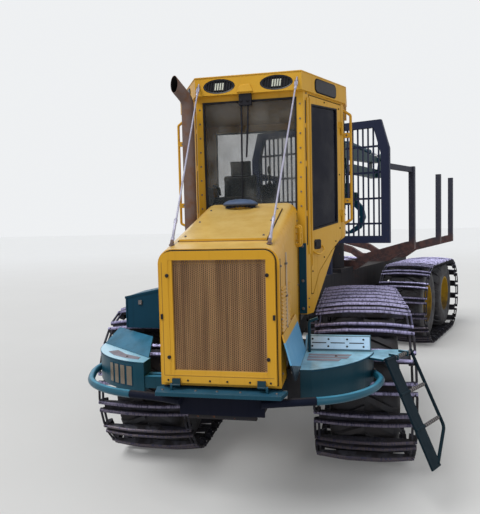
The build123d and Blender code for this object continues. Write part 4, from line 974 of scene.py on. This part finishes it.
# Exhaust stack.
# A thick steel pipe, browned by heat and rust, held to the cab's corner by a clamp ring
# above a foot ring. Its mouth is turned away from the glass and cut upright.
exhaust_steel = Finish("exhaust steel", Metallic=0.35)
scale = exhaust_steel.noise(13, 6)
baked = exhaust_steel.noise(2.5, 3, (1, 1, 0.7))
baked = exhaust_steel.blend(baked, (0.095, 0.062, 0.055), (0.18, 0.125, 0.11))
exhaust_steel.tones(exhaust_steel.ramp(scale, 0.4, 0.68), baked, (0.15, 0.075, 0.045))
exhaust_steel.set("Roughness", 0.55 + scale * 0.35)
exhaust_steel.set("Normal", exhaust_steel.bump(scale, 0.5))
soot = Finish("soot", Roughness=0.95, Specular_IOR_Level=0.05)
soot.tones(soot.noise(30, 3), (0.003, 0.003, 0.003), (0.012, 0.010, 0.010))

PIPE_X, PIPE_Y, PIPE_RADIUS, PIPE_STEPS = -530, 1200, 56, 28
PIPE_FOOT, FOOT_RING, CLAMP_RING, ELBOW_Z = 1900, 1960, 2120, 3350
arm = Vector((-0.446, -0.603, 0.661)).normalized()
mouth_out = Vector((-0.595, -0.804, 0))
elbow = Vector((PIPE_X, PIPE_Y, ELBOW_Z))
mouth = elbow + arm * 185
arm_side = arm.orthogonal().normalized()
arm_other = arm.cross(arm_side)


def round_arm(radius, back, slanted):
    """A ring about the pipe's arm, square to it or in the upright plane of its mouth."""
    ring = []
    for k in range(PIPE_STEPS):
        turn = 2 * pi * k / PIPE_STEPS
        point = mouth - arm * back + arm_side * radius * cos(turn) + arm_other * radius * sin(turn)
        if slanted:
            point += arm * ((mouth - point).dot(mouth_out) / arm.dot(mouth_out))
        ring.append(point)
    return ring


pipe = Form()
run = [Vector((-421, PIPE_Y, PIPE_FOOT)), Vector((PIPE_X, PIPE_Y, PIPE_FOOT)), elbow, mouth - arm * 80]
pipe.tube(bent(run, 100, 8), PIPE_RADIUS, PIPE_STEPS)
end = [(PIPE_RADIUS, 100, False), (PIPE_RADIUS, 0, True), (52, 0, True), (52, 98, False)]
pipe.loft([round_arm(*ring) for ring in end], 0, closed=True)
lining = [(51.9, 0, True), (51.9, 96, False), (51, 96, False), (51, 0, True)]
pipe.loft([round_arm(*ring) for ring in lining], 1, closed=True)
pipe.loft([round_arm(51.9, 96, False), round_arm(51.9, 99, False)], 1)
piece = pipe.make("turned_exhaust_stack", "front_unit", [exhaust_steel, soot], crease=50)
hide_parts("exhaust_stack")

clamps = Form()
ring = [(PIPE_RADIUS, 0), (60, 0), (60, 26), (PIPE_RADIUS, 26)]
clamps.turned(ring, PIPE_STEPS, 0, Matrix.Translation((PIPE_X, PIPE_Y, CLAMP_RING)), closed=True)
clamps.slab(-474, -462, 1194, 1206, CLAMP_RING + 2, CLAMP_RING + 24)
bolt(clamps, (PIPE_X, 1140, CLAMP_RING + 13), (0, -1, 0), 14)
ring = [(PIPE_RADIUS, 0), (62, 0), (62, 34), (PIPE_RADIUS, 34)]
clamps.turned(ring, PIPE_STEPS, 0, turn_to((PIPE_X, PIPE_Y, FOOT_RING), (0, 0, 1)), closed=True)
clamps.make("exhaust_clamps", "front_unit", [bolt_steel])


# Air intake.
# A spun cap of blue-grey plastic over a ring of vanes throws grit out of the air before it
# goes down the painted neck into the bonnet.
cap_plastic = Finish("cap plastic", Roughness=0.45)
cap_dust = cap_plastic.facing_up() * cap_plastic.noise(10, 4)
cap_plastic.tones(cap_dust, (0.024, 0.040, 0.090), (0.12, 0.18, 0.30))
cap_plastic.set("Normal", cap_plastic.bump(cap_plastic.noise(80, 3), 0.2, 0.001))
INTAKE_X, INTAKE_Y, VANES = -55, 1120, 20
CAP = [
    (62, 2390), (110, 2396), (146, 2402), (152, 2408), (152, 2416),
    (144, 2426), (130, 2436), (98, 2450), (52, 2456.5), (12, 2458),
]
neck_z = hood_z(INTAKE_Y)
at_cap = Matrix.Translation((INTAKE_X, INTAKE_Y, 0))
intake = Form()
intake.turned([(86, neck_z - 12), (86, neck_z + 12), (64, neck_z + 14), (64, 2395)], 32, 1, at_cap)
intake.turned(CAP, 44, 0, at_cap)
for index in range(VANES):
    vane = at_cap @ Matrix.Rotation(2 * pi * index / VANES, 4, "Z")
    intake.slab(92, 132, -1.5, 1.5, 2382, 2404, 0, vane)
intake.turned([(14, 2454), (14, 2458), (9, 2460)], 12, 2, at_cap)
finishes = [cap_plastic, yellow_paint, bolt_steel]
piece = intake.make("vaned_air_intake", "front_unit", finishes, crease=30)
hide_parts("air_intake")


# Cab glass.
# Toughened panes in black rubber channels. The front one is clear and dusty, and the door's
# and side panes are tinted almost to black.
def glazed(name, tint, body, dust_share, gloss):
    """A pane: mostly see-through, with its gloss at a slant and a film of dust."""
    pane = Finish(name, Roughness=0.05, Specular_IOR_Level=gloss)
    film = pane.ramp(pane.noise(3.2, 5), 0.4, 0.8)
    pane.tones(film * dust_share, body, (0.45, 0.44, 0.41))
    slant = pane.node("ShaderNodeFresnel", None, {"IOR": 1.45})
    share = tint + slant * (1 - tint) + film * dust_share * 0.35
    clear = pane.node("ShaderNodeBsdfTransparent")
    solid = Wire(pane, pane.shader.outputs[0])
    mixed = pane.node("ShaderNodeMixShader", None, {0: share, 1: clear, 2: solid})
    pane.tree.links.new(mixed.socket, pane.tree.nodes["Material Output"].inputs["Surface"])
    return pane


clear_glass = glazed("clear glass", 0.20, (0.035, 0.045, 0.05), 0.5, 0.4)
tinted_glass = glazed("tinted glass", 0.90, (0.005, 0.006, 0.016), 0.06, 0.06)
wear(clear_glass, "cab_glass")
wear(tinted_glass, "door_glass")

def channel(form, corners, y0, y1, width):
    """A strip of rubber round a pane in the x-z plane."""
    count = len(corners)
    middle = Vector((sum(p[0] for p in corners) / count, sum(p[1] for p in corners) / count))
    rings = []
    for x, z in corners:
        away = Vector((x, z)) - middle
        inner = Vector((x - width * (1 if away.x > 0 else -1), z - width * (1 if away.y > 0 else -1)))
        rings.append([(x, y0, z), (x, y1, z), (inner.x, y1, inner.y), (inner.x, y0, inner.y)])
    form.loft(rings, closed=True)


SWAP_X_Y = Matrix(((0, 1, 0, 0), (1, 0, 0, 0), (0, 0, 1, 0), (0, 0, 0, 1)))
channels = Form()
channel(channels, [(-418, 2348), (418, 2348), (426, 3347), (-426, 3347)], 1324, 1341, 16)
channel(channels, [(-692, 2328), (692, 2328), (692, 3322), (-692, 3322)], 2889, 2904, 18)
for side in (-1, 1):
    strip = Form()
    x0, x1 = sorted((side * 809, side * 824))
    channel(strip, [(2108, 2378), (2792, 2378), (2792, 3322), (2108, 3322)], x0, x1, 16)
    channels.add([SWAP_X_Y @ p for p in strip.points], strip.faces, strip.coats)
channels.make("cab_glass_channels", "front_unit", [black_rubber])


# Cab shell and door.
# Pressed yellow steel pillars with a row of bolts down each, splayed back to the doors.
# The door has a raised edge strip, a sunk black latch and a bent pull below its glass.
CAB_FRONT, CAB_CORNER_X, CAB_BOLT_X = 1330, 485, 455
splay_run = Vector((335, 670, 0)).normalized()
splay_out = Vector((670, -335, 0)).normalized()
LEFT_WALL = Matrix.Translation((CAB_CORNER_X, CAB_FRONT, 0)) @ Matrix(
    ((splay_run.x, 0, splay_out.x, 0), (splay_run.y, 0, splay_out.y, 0), (0, 1, 0, 0), (0, 0, 0, 1))
)
RIGHT_WALL = Matrix.Scale(-1, 4, (1, 0, 0)) @ LEFT_WALL

rivets = Form()
for side in (-1, 1):
    for index in range(8):
        bolt(rivets, (side * CAB_BOLT_X, CAB_FRONT, 2390 + index * 128), (0, -1, 0), 11)
    for z in (1500, 1640, 1780):
        bolt(rivets, (side * CAB_BOLT_X, CAB_FRONT, z), (0, -1, 0), 13)
    for y in (2060, 2835):
        for index in range(5):
            bolt(rivets, (side * 820, y, 2320 + index * 250), (side, 0, 0), 11)
for wall in (LEFT_WALL, RIGHT_WALL):
    for z in (1480, 1560, 3382):
        bolt(rivets, wall @ Vector((45, z, 0)), wall.to_3x3() @ Vector((0, 0, 1)), 11)
rivets.make("cab_bolts", "front_unit", [bolt_steel])

strips = Form()
for wall in (LEFT_WALL, RIGHT_WALL):
    strips.prism([(52, 1960), (78, 1960), (78, 3345), (52, 3345)], -1, 9, "z", 0, wall)
    for low, high in ((2040, 2300), (2350, 2740), (2790, 3080), (3120, 3320)):
        strips.prism([(26, low), (42, low), (42, high), (26, high)], -1, 1.5, "z", 1, wall)
strips.make("cab_corner_strips", "front_unit", [yellow_paint, black_rubber], soften=2)

DOORWAY = ((90, 1596), (128, 1596), (238, 1787), (472, 1961), (692, 2086), (692, 3374), (90, 3374))
DOORWAY_SEAL_HALF = 2.5
frame_seal = Form()
for (s, z), (s2, z2) in zip(DOORWAY, DOORWAY[1:] + DOORWAY[:1]):
    run = Vector((s2 - s, z2 - z)).normalized() * DOORWAY_SEAL_HALF
    across = Vector((-run.y, run.x))
    near, far = Vector((s, z)) - run, Vector((s2, z2)) + run
    quad = [near + across, far + across, far - across, near - across]
    frame_seal.prism(quad, -34, -6, "z", 0, LEFT_WALL)
frame_seal.make("door_frame_seal", "front_unit", [black_rubber])

latch = Form()
cup = [(150, 2010), (165, 1996), (258, 1996), (273, 2010), (273, 2072), (258, 2086), (165, 2086), (150, 2072)]
latch.prism(cup, -2, 3, "z", 1, LEFT_WALL)
paddle = [(168, 2022), (240, 2022), (252, 2034), (252, 2052), (240, 2062), (168, 2062)]
latch.prism(paddle, 3, 11, "z", 1, LEFT_WALL)
pull = [(130, 1985, 0), (140, 1962, 26), (190, 1948, 34), (245, 1962, 34), (292, 1998, 26), (300, 2022, 0)]
latch.tube([LEFT_WALL @ Vector(p) for p in bent(pull, 26)], 8, 10, 0)
latch.prism([(108, 1850), (126, 1850), (126, 3352), (108, 3352)], -1, 5, "z", 0, LEFT_WALL)
for s, z in ((118, 1800), (330, 1915), (560, 2055), (650, 2180), (650, 2700), (650, 3330), (370, 3350)):
    bolt(latch, LEFT_WALL @ Vector((s, z, 0)), LEFT_WALL.to_3x3() @ Vector((0, 0, 1)), 11, 1)
latch.make("cab_door_latch", "cab_door", [yellow_paint, black_rubber], soften=1)

GLASS_EDGE = ((133, 2168), (612, 2233), (612, 3327), (133, 3302))
CHANNEL_EDGE = ((147, 2184), (598, 2246), (598, 3312), (147, 3288))


def glass_channel(name, wall, body):
    """The rubber round the pane in a splayed side of the cab."""
    bead = Form()
    rings = []
    for (s, z), (a, b) in zip(GLASS_EDGE, CHANNEL_EDGE):
        rings.append([wall @ Vector(p) for p in ((s, z, -14), (s, z, 3), (a, b, 3), (a, b, -14))])
    bead.loft(rings, closed=True)
    bead.make(name, body, [black_rubber])


glass_channel("door_glass_channel", LEFT_WALL, "cab_door")
glass_channel("twin_glass_channel", RIGHT_WALL, "front_unit")


# Roof and lamps.
# A deep yellow visor runs round the roof's front. Each oval work lamp is sunk in it behind
# dark upright slats, with a pale reflector in the middle. The wiper hangs under a small pod.
lamp_black = Finish("lamp black", Roughness=0.35, Specular_IOR_Level=0.2)
lamp_black.tones(lamp_black.noise(30, 3), (0.010, 0.010, 0.013), (0.03, 0.03, 0.038))
reflector = Finish("reflector", Metallic=0.2, Roughness=0.3)
reflector.tones(reflector.noise(60, 2), (0.42, 0.44, 0.36), (0.75, 0.76, 0.66))

visor_run = Vector((367, 730, 0)).normalized()
visor_out = Vector((730, -367, 0)).normalized()
LAMP_Y, LAMP_Z, VISOR_CORNER_X, SIDE_LAMP, SLAT_LEAN = 1270, 3470, 478, 420, 5
FORWARDS = Matrix(((1, 0, 0, 0), (0, 0, -1, 0), (0, 1, 0, 0), (0, 0, 0, 1)))
lamp_places = [Matrix.Translation((x, LAMP_Y, LAMP_Z)) @ FORWARDS for x in (-256, 258)]
for side in (-1, 1):
    run = Vector((side * visor_run.x, visor_run.y, 0))
    out = Vector((side * visor_out.x, visor_out.y, 0))
    sidewards = Matrix(((run.x, 0, out.x, 0), (run.y, 0, out.y, 0), (0, 1, 0, 0), (0, 0, 0, 1)))
    corner = Vector((side * VISOR_CORNER_X, LAMP_Y, LAMP_Z))
    lamp_places.append(Matrix.Translation(corner + run * SIDE_LAMP) @ sidewards)
lamps = Form()
for place in lamp_places:
    rings = []
    for index in range(48):
        u, v = cos(2 * pi * index / 48), sin(2 * pi * index / 48)
        wide, tight = (142 * u, 63 * v), (128 * u, 52 * v)
        rings.append([(*wide, -24), (*wide, 0.5), (*tight, -4), (*tight, -24)])
    lamps.loft(rings, 0, place, closed=True)
    for x in range(-120, 121, 24):
        reach = 52 * (1 - (x / 132) ** 2) ** 0.5
        low, high = x - SLAT_LEAN, x + SLAT_LEAN
        slat = [(low - 3, -reach), (low + 3, -reach), (high + 3, reach), (high - 3, reach)]
        lamps.prism(slat, -20, -7, "z", 0, place)
    for x in (-44, -22, 0, 22):
        lamps.prism([(x, -30), (x + 13, -30), (x + 22, 30), (x + 9, 30)], -22, -6.5, "z", 1, place)
for place in lamp_places[2:]:
    cover = []
    for x, z, turn in ((152, 18, 0), (-152, 18, 90), (-152, -18, 180), (152, -18, 270)):
        for step in range(7):
            angle = radians(turn + 15 * step)
            cover.append((x + 46 * cos(angle), z + 46 * sin(angle)))
    inset = [(u * 0.95, v * 0.86) for u, v in cover]
    lamps.prism(cover, -3, 4, "z", 2, place)
    lamps.loft([[(*p, 4) for p in cover], [(*p, 4) for p in inset], [(*p, 7) for p in inset]], 0, place)
lamps.make("roof_lamp_slats", "front_unit", [lamp_black, reflector, black_rubber])
wear(lamp_black, "roof_lamps")

pod = Form()
pod.loft([
    [(-96, 1270, 3402), (56, 1270, 3402), (28, 1270, 3478), (-68, 1270, 3478)],
    [(-92, 1251, 3406), (52, 1251, 3406), (24, 1258, 3466), (-64, 1258, 3466)],
])
pod.make("roof_wiper_pod", "front_unit", [yellow_paint], soften=3)

ROOF_EDGE_Z = 3553
ROOF_EDGE = ((-845, 1999), (-478, 1268), (478, 1268), (845, 1999), (845, 2925))
roof_trim = Form()
roof_trim.tube([(x, y, ROOF_EDGE_Z) for x, y in ROOF_EDGE], 5, 8)
roof_trim.make("roof_edge_roll", "front_unit", [yellow_paint])

black_coat = Finish("black coat", Roughness=0.4, Specular_IOR_Level=0.15)
black_coat.tones(black_coat.noise(25, 4), (0.005, 0.005, 0.009), (0.022, 0.021, 0.026))
wear(black_coat, "wiper")
blade = Form()
blade.slab(-82, 32, 1284, 1292, 3300, 3392)
blade.tube([(-62, 1300, 3330), (-66, 1306, 3200), (-72, 1316, 2900)], 7, 8)
blade.slab(-78, -68, 1316, 1323, 2462, 2960)
blade.slab(-75, -71, 1322, 1329, 2462, 2960, 1)
blade.tube([(0, 1300, 3330), (-8, 1308, 3100), (-26, 1318, 2850)], 6, 8)
for x in (0, -60):
    blade.turned([(15, 0), (15, 14), (9, 20)], 16, 0, turn_to((x, 1284, 3335), (0, -1, 0)))
blade.make("wiper_arms", "front_unit", [black_coat, black_rubber], soften=0.8)


# Branch stays.
# Bright galvanised rods from the bonnet's front to the visor push branches over the cab.
# A thicker tightening sleeve is at each foot, and a shackle at each head.
galvanised = Finish("galvanised steel", Metallic=0.55)
spangle = galvanised.noise(50, 3)
galvanised.tones(spangle, (0.26, 0.25, 0.33), (0.46, 0.45, 0.55))
galvanised.set("Roughness", 0.32 + spangle * 0.25)
wear(galvanised, "branch_stays")
STAY_X, STAY_Y = 345, 90
ties = Form()
for side in (-1, 1):
    foot = Vector((side * STAY_X, STAY_Y, hood_z(STAY_Y) + 4))
    head = Vector((side * 440, 1262, 3490))
    run = (head - foot).normalized()
    place = turn_to(foot, run)
    sleeve = [(9, 26), (13, 34), (13, 62), (10, 68), (10, 196), (13, 202), (13, 230), (9, 238)]
    ties.turned(sleeve, 14, 0, place)
    ties.slab(-9, 9, -16, 16, -2, 34, 2, place)
    socket = turn_to((side * STAY_X, STAY_Y, hood_z(STAY_Y)), HOOD_UP)
    ties.turned([(20, 0), (20, 5), (12, 12)], 16, 2, socket)
    top = turn_to(head - run * 150, run)
    ties.turned([(9, 0), (12, 6), (12, 52), (9, 58)], 14, 0, top)
    ties.slab(-14, -8, -9, 9, 50, 96, 0, top)
    ties.slab(8, 14, -9, 9, 50, 96, 0, top)
    ring = bent([(-11, 0, 84), (-13, 0, 120), (0, 0, 138), (13, 0, 120), (11, 0, 84)], 14)
    ties.tube([top @ p for p in ring], 4.5, 8, 1)
finishes = [galvanised, bolt_steel, exhaust_steel]
ties.make("branch_stay_fittings", "front_unit", finishes, soften=0.8)


# Grab rails.
# Bent yellow tubes for climbing in and out. Flat plates are welded across the two at the
# cab's sides, each with a bolt through it.
rail_plates = Form()
for side in (-1, 1):
    for z in (2450, 3095):
        x0, x1 = sorted((side * 822, side * 888))
        rail_plates.slab(x0, x1, 2036, 2064, z - 24, z + 24)
        bolt(rail_plates, (side * 850, 2036, z), (0, -1, 0), 12, 1)
rail_plates.make("grab_rail_plates", "front_unit", [yellow_paint, bolt_steel], soften=1.5)


# Driver's seat.
# Foam cushions in dark cloth with sewn edges, on a sprung steel pedestal between two
# consoles that carry the levers.
seat_cloth = Finish("seat cloth", Roughness=0.9, Sheen_Weight=0.25)
weave = seat_cloth.wave(0, 2100) * seat_cloth.wave(2, 2100)
seat_cloth.tones(seat_cloth.noise(6, 4), (0.018, 0.018, 0.020), (0.055, 0.052, 0.050))
seat_cloth.set("Normal", seat_cloth.bump(weave, 0.4, 0.001))


VOXEL = 0.011
SEWN_AT, SEWN_HALF, SEWN_DEEP = 0.28, 0.014, 0.006


def crowned(name, width, depth, thick, place, swell):
    """A stuffed cushion: a rounded slab, blown up as cloth and capped in how far it may swell."""
    mesh = bpy.data.meshes.new(name)
    work = bmesh.new()
    bmesh.ops.create_cube(work, size=1)
    bmesh.ops.scale(work, vec=(width, depth, thick), verts=work.verts)
    bmesh.ops.bevel(work, geom=work.edges[:], offset=thick * 0.3, segments=3, affect="EDGES", profile=0.6)
    work.to_mesh(mesh)
    work.free()
    cushion = bpy.data.objects.new(name, mesh)
    bpy.context.scene.collection.objects.link(cushion)
    bpy.context.view_layer.objects.active = cushion
    grid = cushion.modifiers.new("grid", "REMESH")
    grid.mode = "VOXEL"
    grid.voxel_size = VOXEL
    bake(cushion)
    rest = [v.co.copy() for v in cushion.data.vertices]
    cloth = cushion.modifiers.new("cloth", "CLOTH")
    cloth.settings.use_pressure = True
    cloth.settings.uniform_pressure_force = 4
    cloth.settings.effector_weights.gravity = 0
    for step in range(1, 21):
        bpy.context.scene.frame_set(step)
    bake(cushion)
    bpy.context.scene.frame_set(1)
    for vertex, before in zip(cushion.data.vertices, rest):
        move = vertex.co - before
        if move.length > swell:
            vertex.co = before + move.normalized() * swell
    cushion.data.update()
    for vertex in cushion.data.vertices:
        u, v = vertex.co.x / width * 2, vertex.co.y / depth * 2
        pull = (abs(u) ** 3 * (1 - abs(v) ** 3) + abs(v) ** 3 * (1 - abs(u) ** 3)) * 0.02
        vertex.co.x -= pull * u * 0.5
        vertex.co.y -= pull * v * 0.5
    for side in (-1, 1):
        for vertex in cushion.data.vertices:
            gap = abs(abs(vertex.co.x) - width * SEWN_AT)
            if gap < SEWN_HALF and vertex.co.z * side > thick * 0.25:
                vertex.co.z -= side * SEWN_DEEP * (1 - gap / SEWN_HALF)
    cushion.data.transform(place)
    cushion.data.polygons.foreach_set("use_smooth", [True] * len(cushion.data.polygons))
    cushion.data.materials.clear()
    cushion.data.materials.append(seat_cloth.material)
    finer = cushion.modifiers.new("finer", "SUBSURF")
    finer.levels = 1
    finer.render_levels = 1
    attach(cushion, "front_unit")
    return cushion


def bake(piece):
    """Applies the piece's modifiers to its mesh."""
    drawn = piece.evaluated_get(bpy.context.evaluated_depsgraph_get())
    mesh = bpy.data.meshes.new_from_object(drawn)
    piece.modifiers.clear()
    piece.data = mesh


def seat_spot(x, y, z, lean=0):
    """A place in the cab in metres, leaning back by so many degrees."""
    return Matrix.Translation(FRONT @ Vector((x, y, z))) @ Matrix.Rotation(radians(lean), 4, "X")


SEAT_X = -300
base = crowned("seat_cushion", 0.47, 0.46, 0.10, seat_spot(SEAT_X, 2130, 2462), 0.014)
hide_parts("seat")
crowned("seat_back", 0.38, 0.29, 0.095, seat_spot(SEAT_X, 2369, 2628, 101), 0.014)
crowned("seat_headrest", 0.24, 0.17, 0.075, seat_spot(SEAT_X, 2405, 2850, 101), 0.010)

pedestal = Form()
pedestal.slab(SEAT_X - 225, SEAT_X + 225, 1930, 2350, 2385, 2408)
folds = []
for index in range(9):
    half = 88 if index % 2 else 72
    corners = ((-half, -half), (half, -half), (half, half), (-half, half))
    folds.append([(SEAT_X + u, 2110 + v, 2150 + index * 29) for u, v in corners])
pedestal.loft(folds, 0)
pedestal.prism([(2330, 2400), (2352, 2400), (2397, 2768), (2375, 2770)], SEAT_X - 180, SEAT_X + 180, "x", 0)
for side in (-1, 1):
    root, outer = SEAT_X + side * 236, SEAT_X + side * 246
    armrest = bent([(root, 2370, 2560), (outer, 2370, 2640), (outer, 2130, 2650)], 40)
    pedestal.tube(armrest, 17, 10, 1)
pedestal.make("seat_pedestal", "front_unit", [black_coat, black_rubber], soften=2)

wear(black_coat, "consoles")
levers = Form()
for side in (-1, 1):
    foot = turn_to((SEAT_X + side * 360, 2110, 2638), (0, -0.1, 1))
    levers.turned([(30, 0), (26, 14), (17, 30), (9, 42), (8, 120)], 16, 0, foot)
    levers.turned([(12, 118), (18, 130), (20, 165), (14, 190), (5, 196)], 16, 0, foot)
    for index in range(4):
        key = turn_to((SEAT_X + side * (320 + index * 24), 2220, 2639), (0, 0, 1))
        levers.turned([(7, 0), (7, 5), (5, 7)], 10, 1, key)
levers.make("console_levers", "front_unit", [black_rubber, bolt_steel])


# Rear frame, gate and bunks.
# A welded box beam with the crane's seat, a barred blue-grey headboard painted dark navy as
# shade, and three rusty bolsters with tall dark stakes for the logs.
rear_paint = sprayed(
    "rear frame paint", (0.014, 0.014, 0.018), (0.032, 0.025, 0.026),
    rust=0.60, mud_line=1.0, rough=0.6, gloss=0.15,
)
wear(rear_paint, "rear_frame")
# Its blue-grey is painted dark navy as shade.
gate_shade_paint = sprayed(
    "gate paint darkened as shade", (0.009, 0.013, 0.036), (0.018, 0.024, 0.058),
    rust=0.64, mud_line=0.4, rough=0.5, gloss=0.2,
)
wear(gate_shade_paint, "headboard_gate")
bunk_paint = Finish("bunk paint", Metallic=0.1)
tall = bunk_paint.ramp(bunk_paint.axis(bunk_paint.spot(), 2) + bunk_paint.noise(4, 4) * 0.3, 1.95, 2.15)
flakes = bunk_paint.noise(14, 5)
low_coat = bunk_paint.blend(bunk_paint.ramp(flakes, 0.4, 0.6), (0.038, 0.020, 0.022), (0.085, 0.036, 0.032))
high_coat = bunk_paint.blend(bunk_paint.ramp(flakes, 0.5, 0.7), (0.014, 0.015, 0.030), (0.034, 0.030, 0.042))
bunk_paint.tones(tall, low_coat, high_coat)
bunk_paint.set("Roughness", 0.55 + flakes * 0.3)
bunk_paint.set("Normal", bunk_paint.bump(flakes, 0.5))
wear(bunk_paint, "bunks_and_stakes")


# Crane.
# Welded teal box booms on a slewing column, with turned pins, steel oil lines clamped
# along the booms, and a two jaw grapple under a rotator.
crane_paint = sprayed(
    "crane paint", (0.004, 0.026, 0.032), (0.010, 0.042, 0.050),
    rust=0.66, mud_line=0.3, rough=0.45, dust_and_sheen=(0.03, 0.09, 0.11), dust_and_sheen_share=0.5, gloss=0.15,
)
wear(crane_paint, "crane_column", "main_boom", "outer_boom", "swing_link", "grapple_head")
wear(dark_teal, "grapple_jaw_left", "grapple_jaw_right", "lift_ram_barrel", "jib_ram_barrel")
wear(chassis_paint, "steering_barrel_left", "steering_barrel_right")

rod_chrome = Finish("rod chrome", Metallic=1.0)
oil_film = rod_chrome.noise(8, 4, (1, 1, 3))
rod_chrome.tones(oil_film, (0.62, 0.62, 0.64), (0.80, 0.80, 0.82))
rod_chrome.set("Roughness", 0.12 + oil_film * 0.14)
wear(rod_chrome, "lift_ram_rod", "jib_ram_rod", "steering_rod_left", "steering_rod_right")

slid_steel = Finish("slid steel", Metallic=0.6)
grease = slid_steel.noise(7, 4, (1, 1, 5))
slid_steel.tones(grease, (0.05, 0.05, 0.055), (0.24, 0.23, 0.23))
slid_steel.set("Roughness", 0.3 + grease * 0.3)
wear(slid_steel, "boom_extension")


def bolt_circle(form, y, z, radius, count, out, across):
    """Bolts round a level flange on the crane's middle line."""
    for index in range(count):
        angle = 2 * pi * index / count
        bolt(form, (radius * cos(angle), y + radius * sin(angle), z), (0, 0, out), across)


foot_bolts = Form()
bolt_circle(foot_bolts, 1600, 2021, 180, 16, 1, 24)
for side in (-1, 1):
    bolt(foot_bolts, (side * 160, 1600, 3470), (side, 0, 0), 46)
    bolt(foot_bolts, (side * 85, 1830, 2480), (side, 0, 0), 34)
foot_bolts.make("crane_column_bolts", "crane_column", [bolt_steel], REAR)

oil_lines = Form()
for x, z in ((-52, 3600), (-30, 3600), (30, 3600), (52, 3600)):
    line = bent([(x, 1760, z - 8), (x, 2250, z + 2), (x, 3560, z - 68), (x, 3880, z - 74)], 60)
    oil_lines.tube(line, 8, 8, 0)
for y, z in ((1900, 3596), (2320, 3598), (2760, 3580), (3180, 3552), (3540, 3530)):
    oil_lines.slab(-66, 66, y - 12, y + 12, z - 12, z + 12, 1)
for side in (-1, 1):
    bolt(oil_lines, (side * 130, 4000, 3470), (side, 0, 0), 44, 1)
    bolt(oil_lines, (side * 85, 2200, 3210), (side, 0, 0), 34, 1)
oil_lines.make("main_boom_oil_lines", "main_boom", [bolt_steel, black_coat], REAR, soften=1)

jaw_fittings = Form()
for x in (-130, 130):
    for y, out in ((2340, -1), (2460, 1)):
        bolt(jaw_fittings, (x, y, 2580), (0, out, 0), 34)
bolt_circle(jaw_fittings, 2400, 2738, 85, 8, -1, 16)
jaw_fittings.make("grapple_pins", "grapple_head", [bolt_steel], REAR)


# Floor.
# A wide pale sheet under the machine, not part of it.
floor_finish = Finish("floor", Roughness=0.9, Specular_IOR_Level=0.1, Emission_Strength=1)
away = floor_finish.node("ShaderNodeVectorMath", {"operation": "LENGTH"}, {0: floor_finish.spot()}, 1)
floor_finish.tones(floor_finish.noise(0.6, 3), (0.60, 0.60, 0.59), (0.64, 0.64, 0.63))
far = floor_finish.ramp(away, 6, 40)
floor_finish.set("Emission Color", floor_finish.blend(far, (0.10, 0.10, 0.10), (0.20, 0.21, 0.225)))
floor_mesh = bpy.data.meshes.new("floor")
floor_mesh.from_pydata([(-90, -60, 0), (90, -60, 0), (90, 120, 0), (-90, 120, 0)], [], [(0, 1, 2, 3)])
floor_mesh.materials.append(floor_finish.material)
floor = bpy.data.objects.new("floor", floor_mesh)
bpy.context.scene.collection.objects.link(floor)
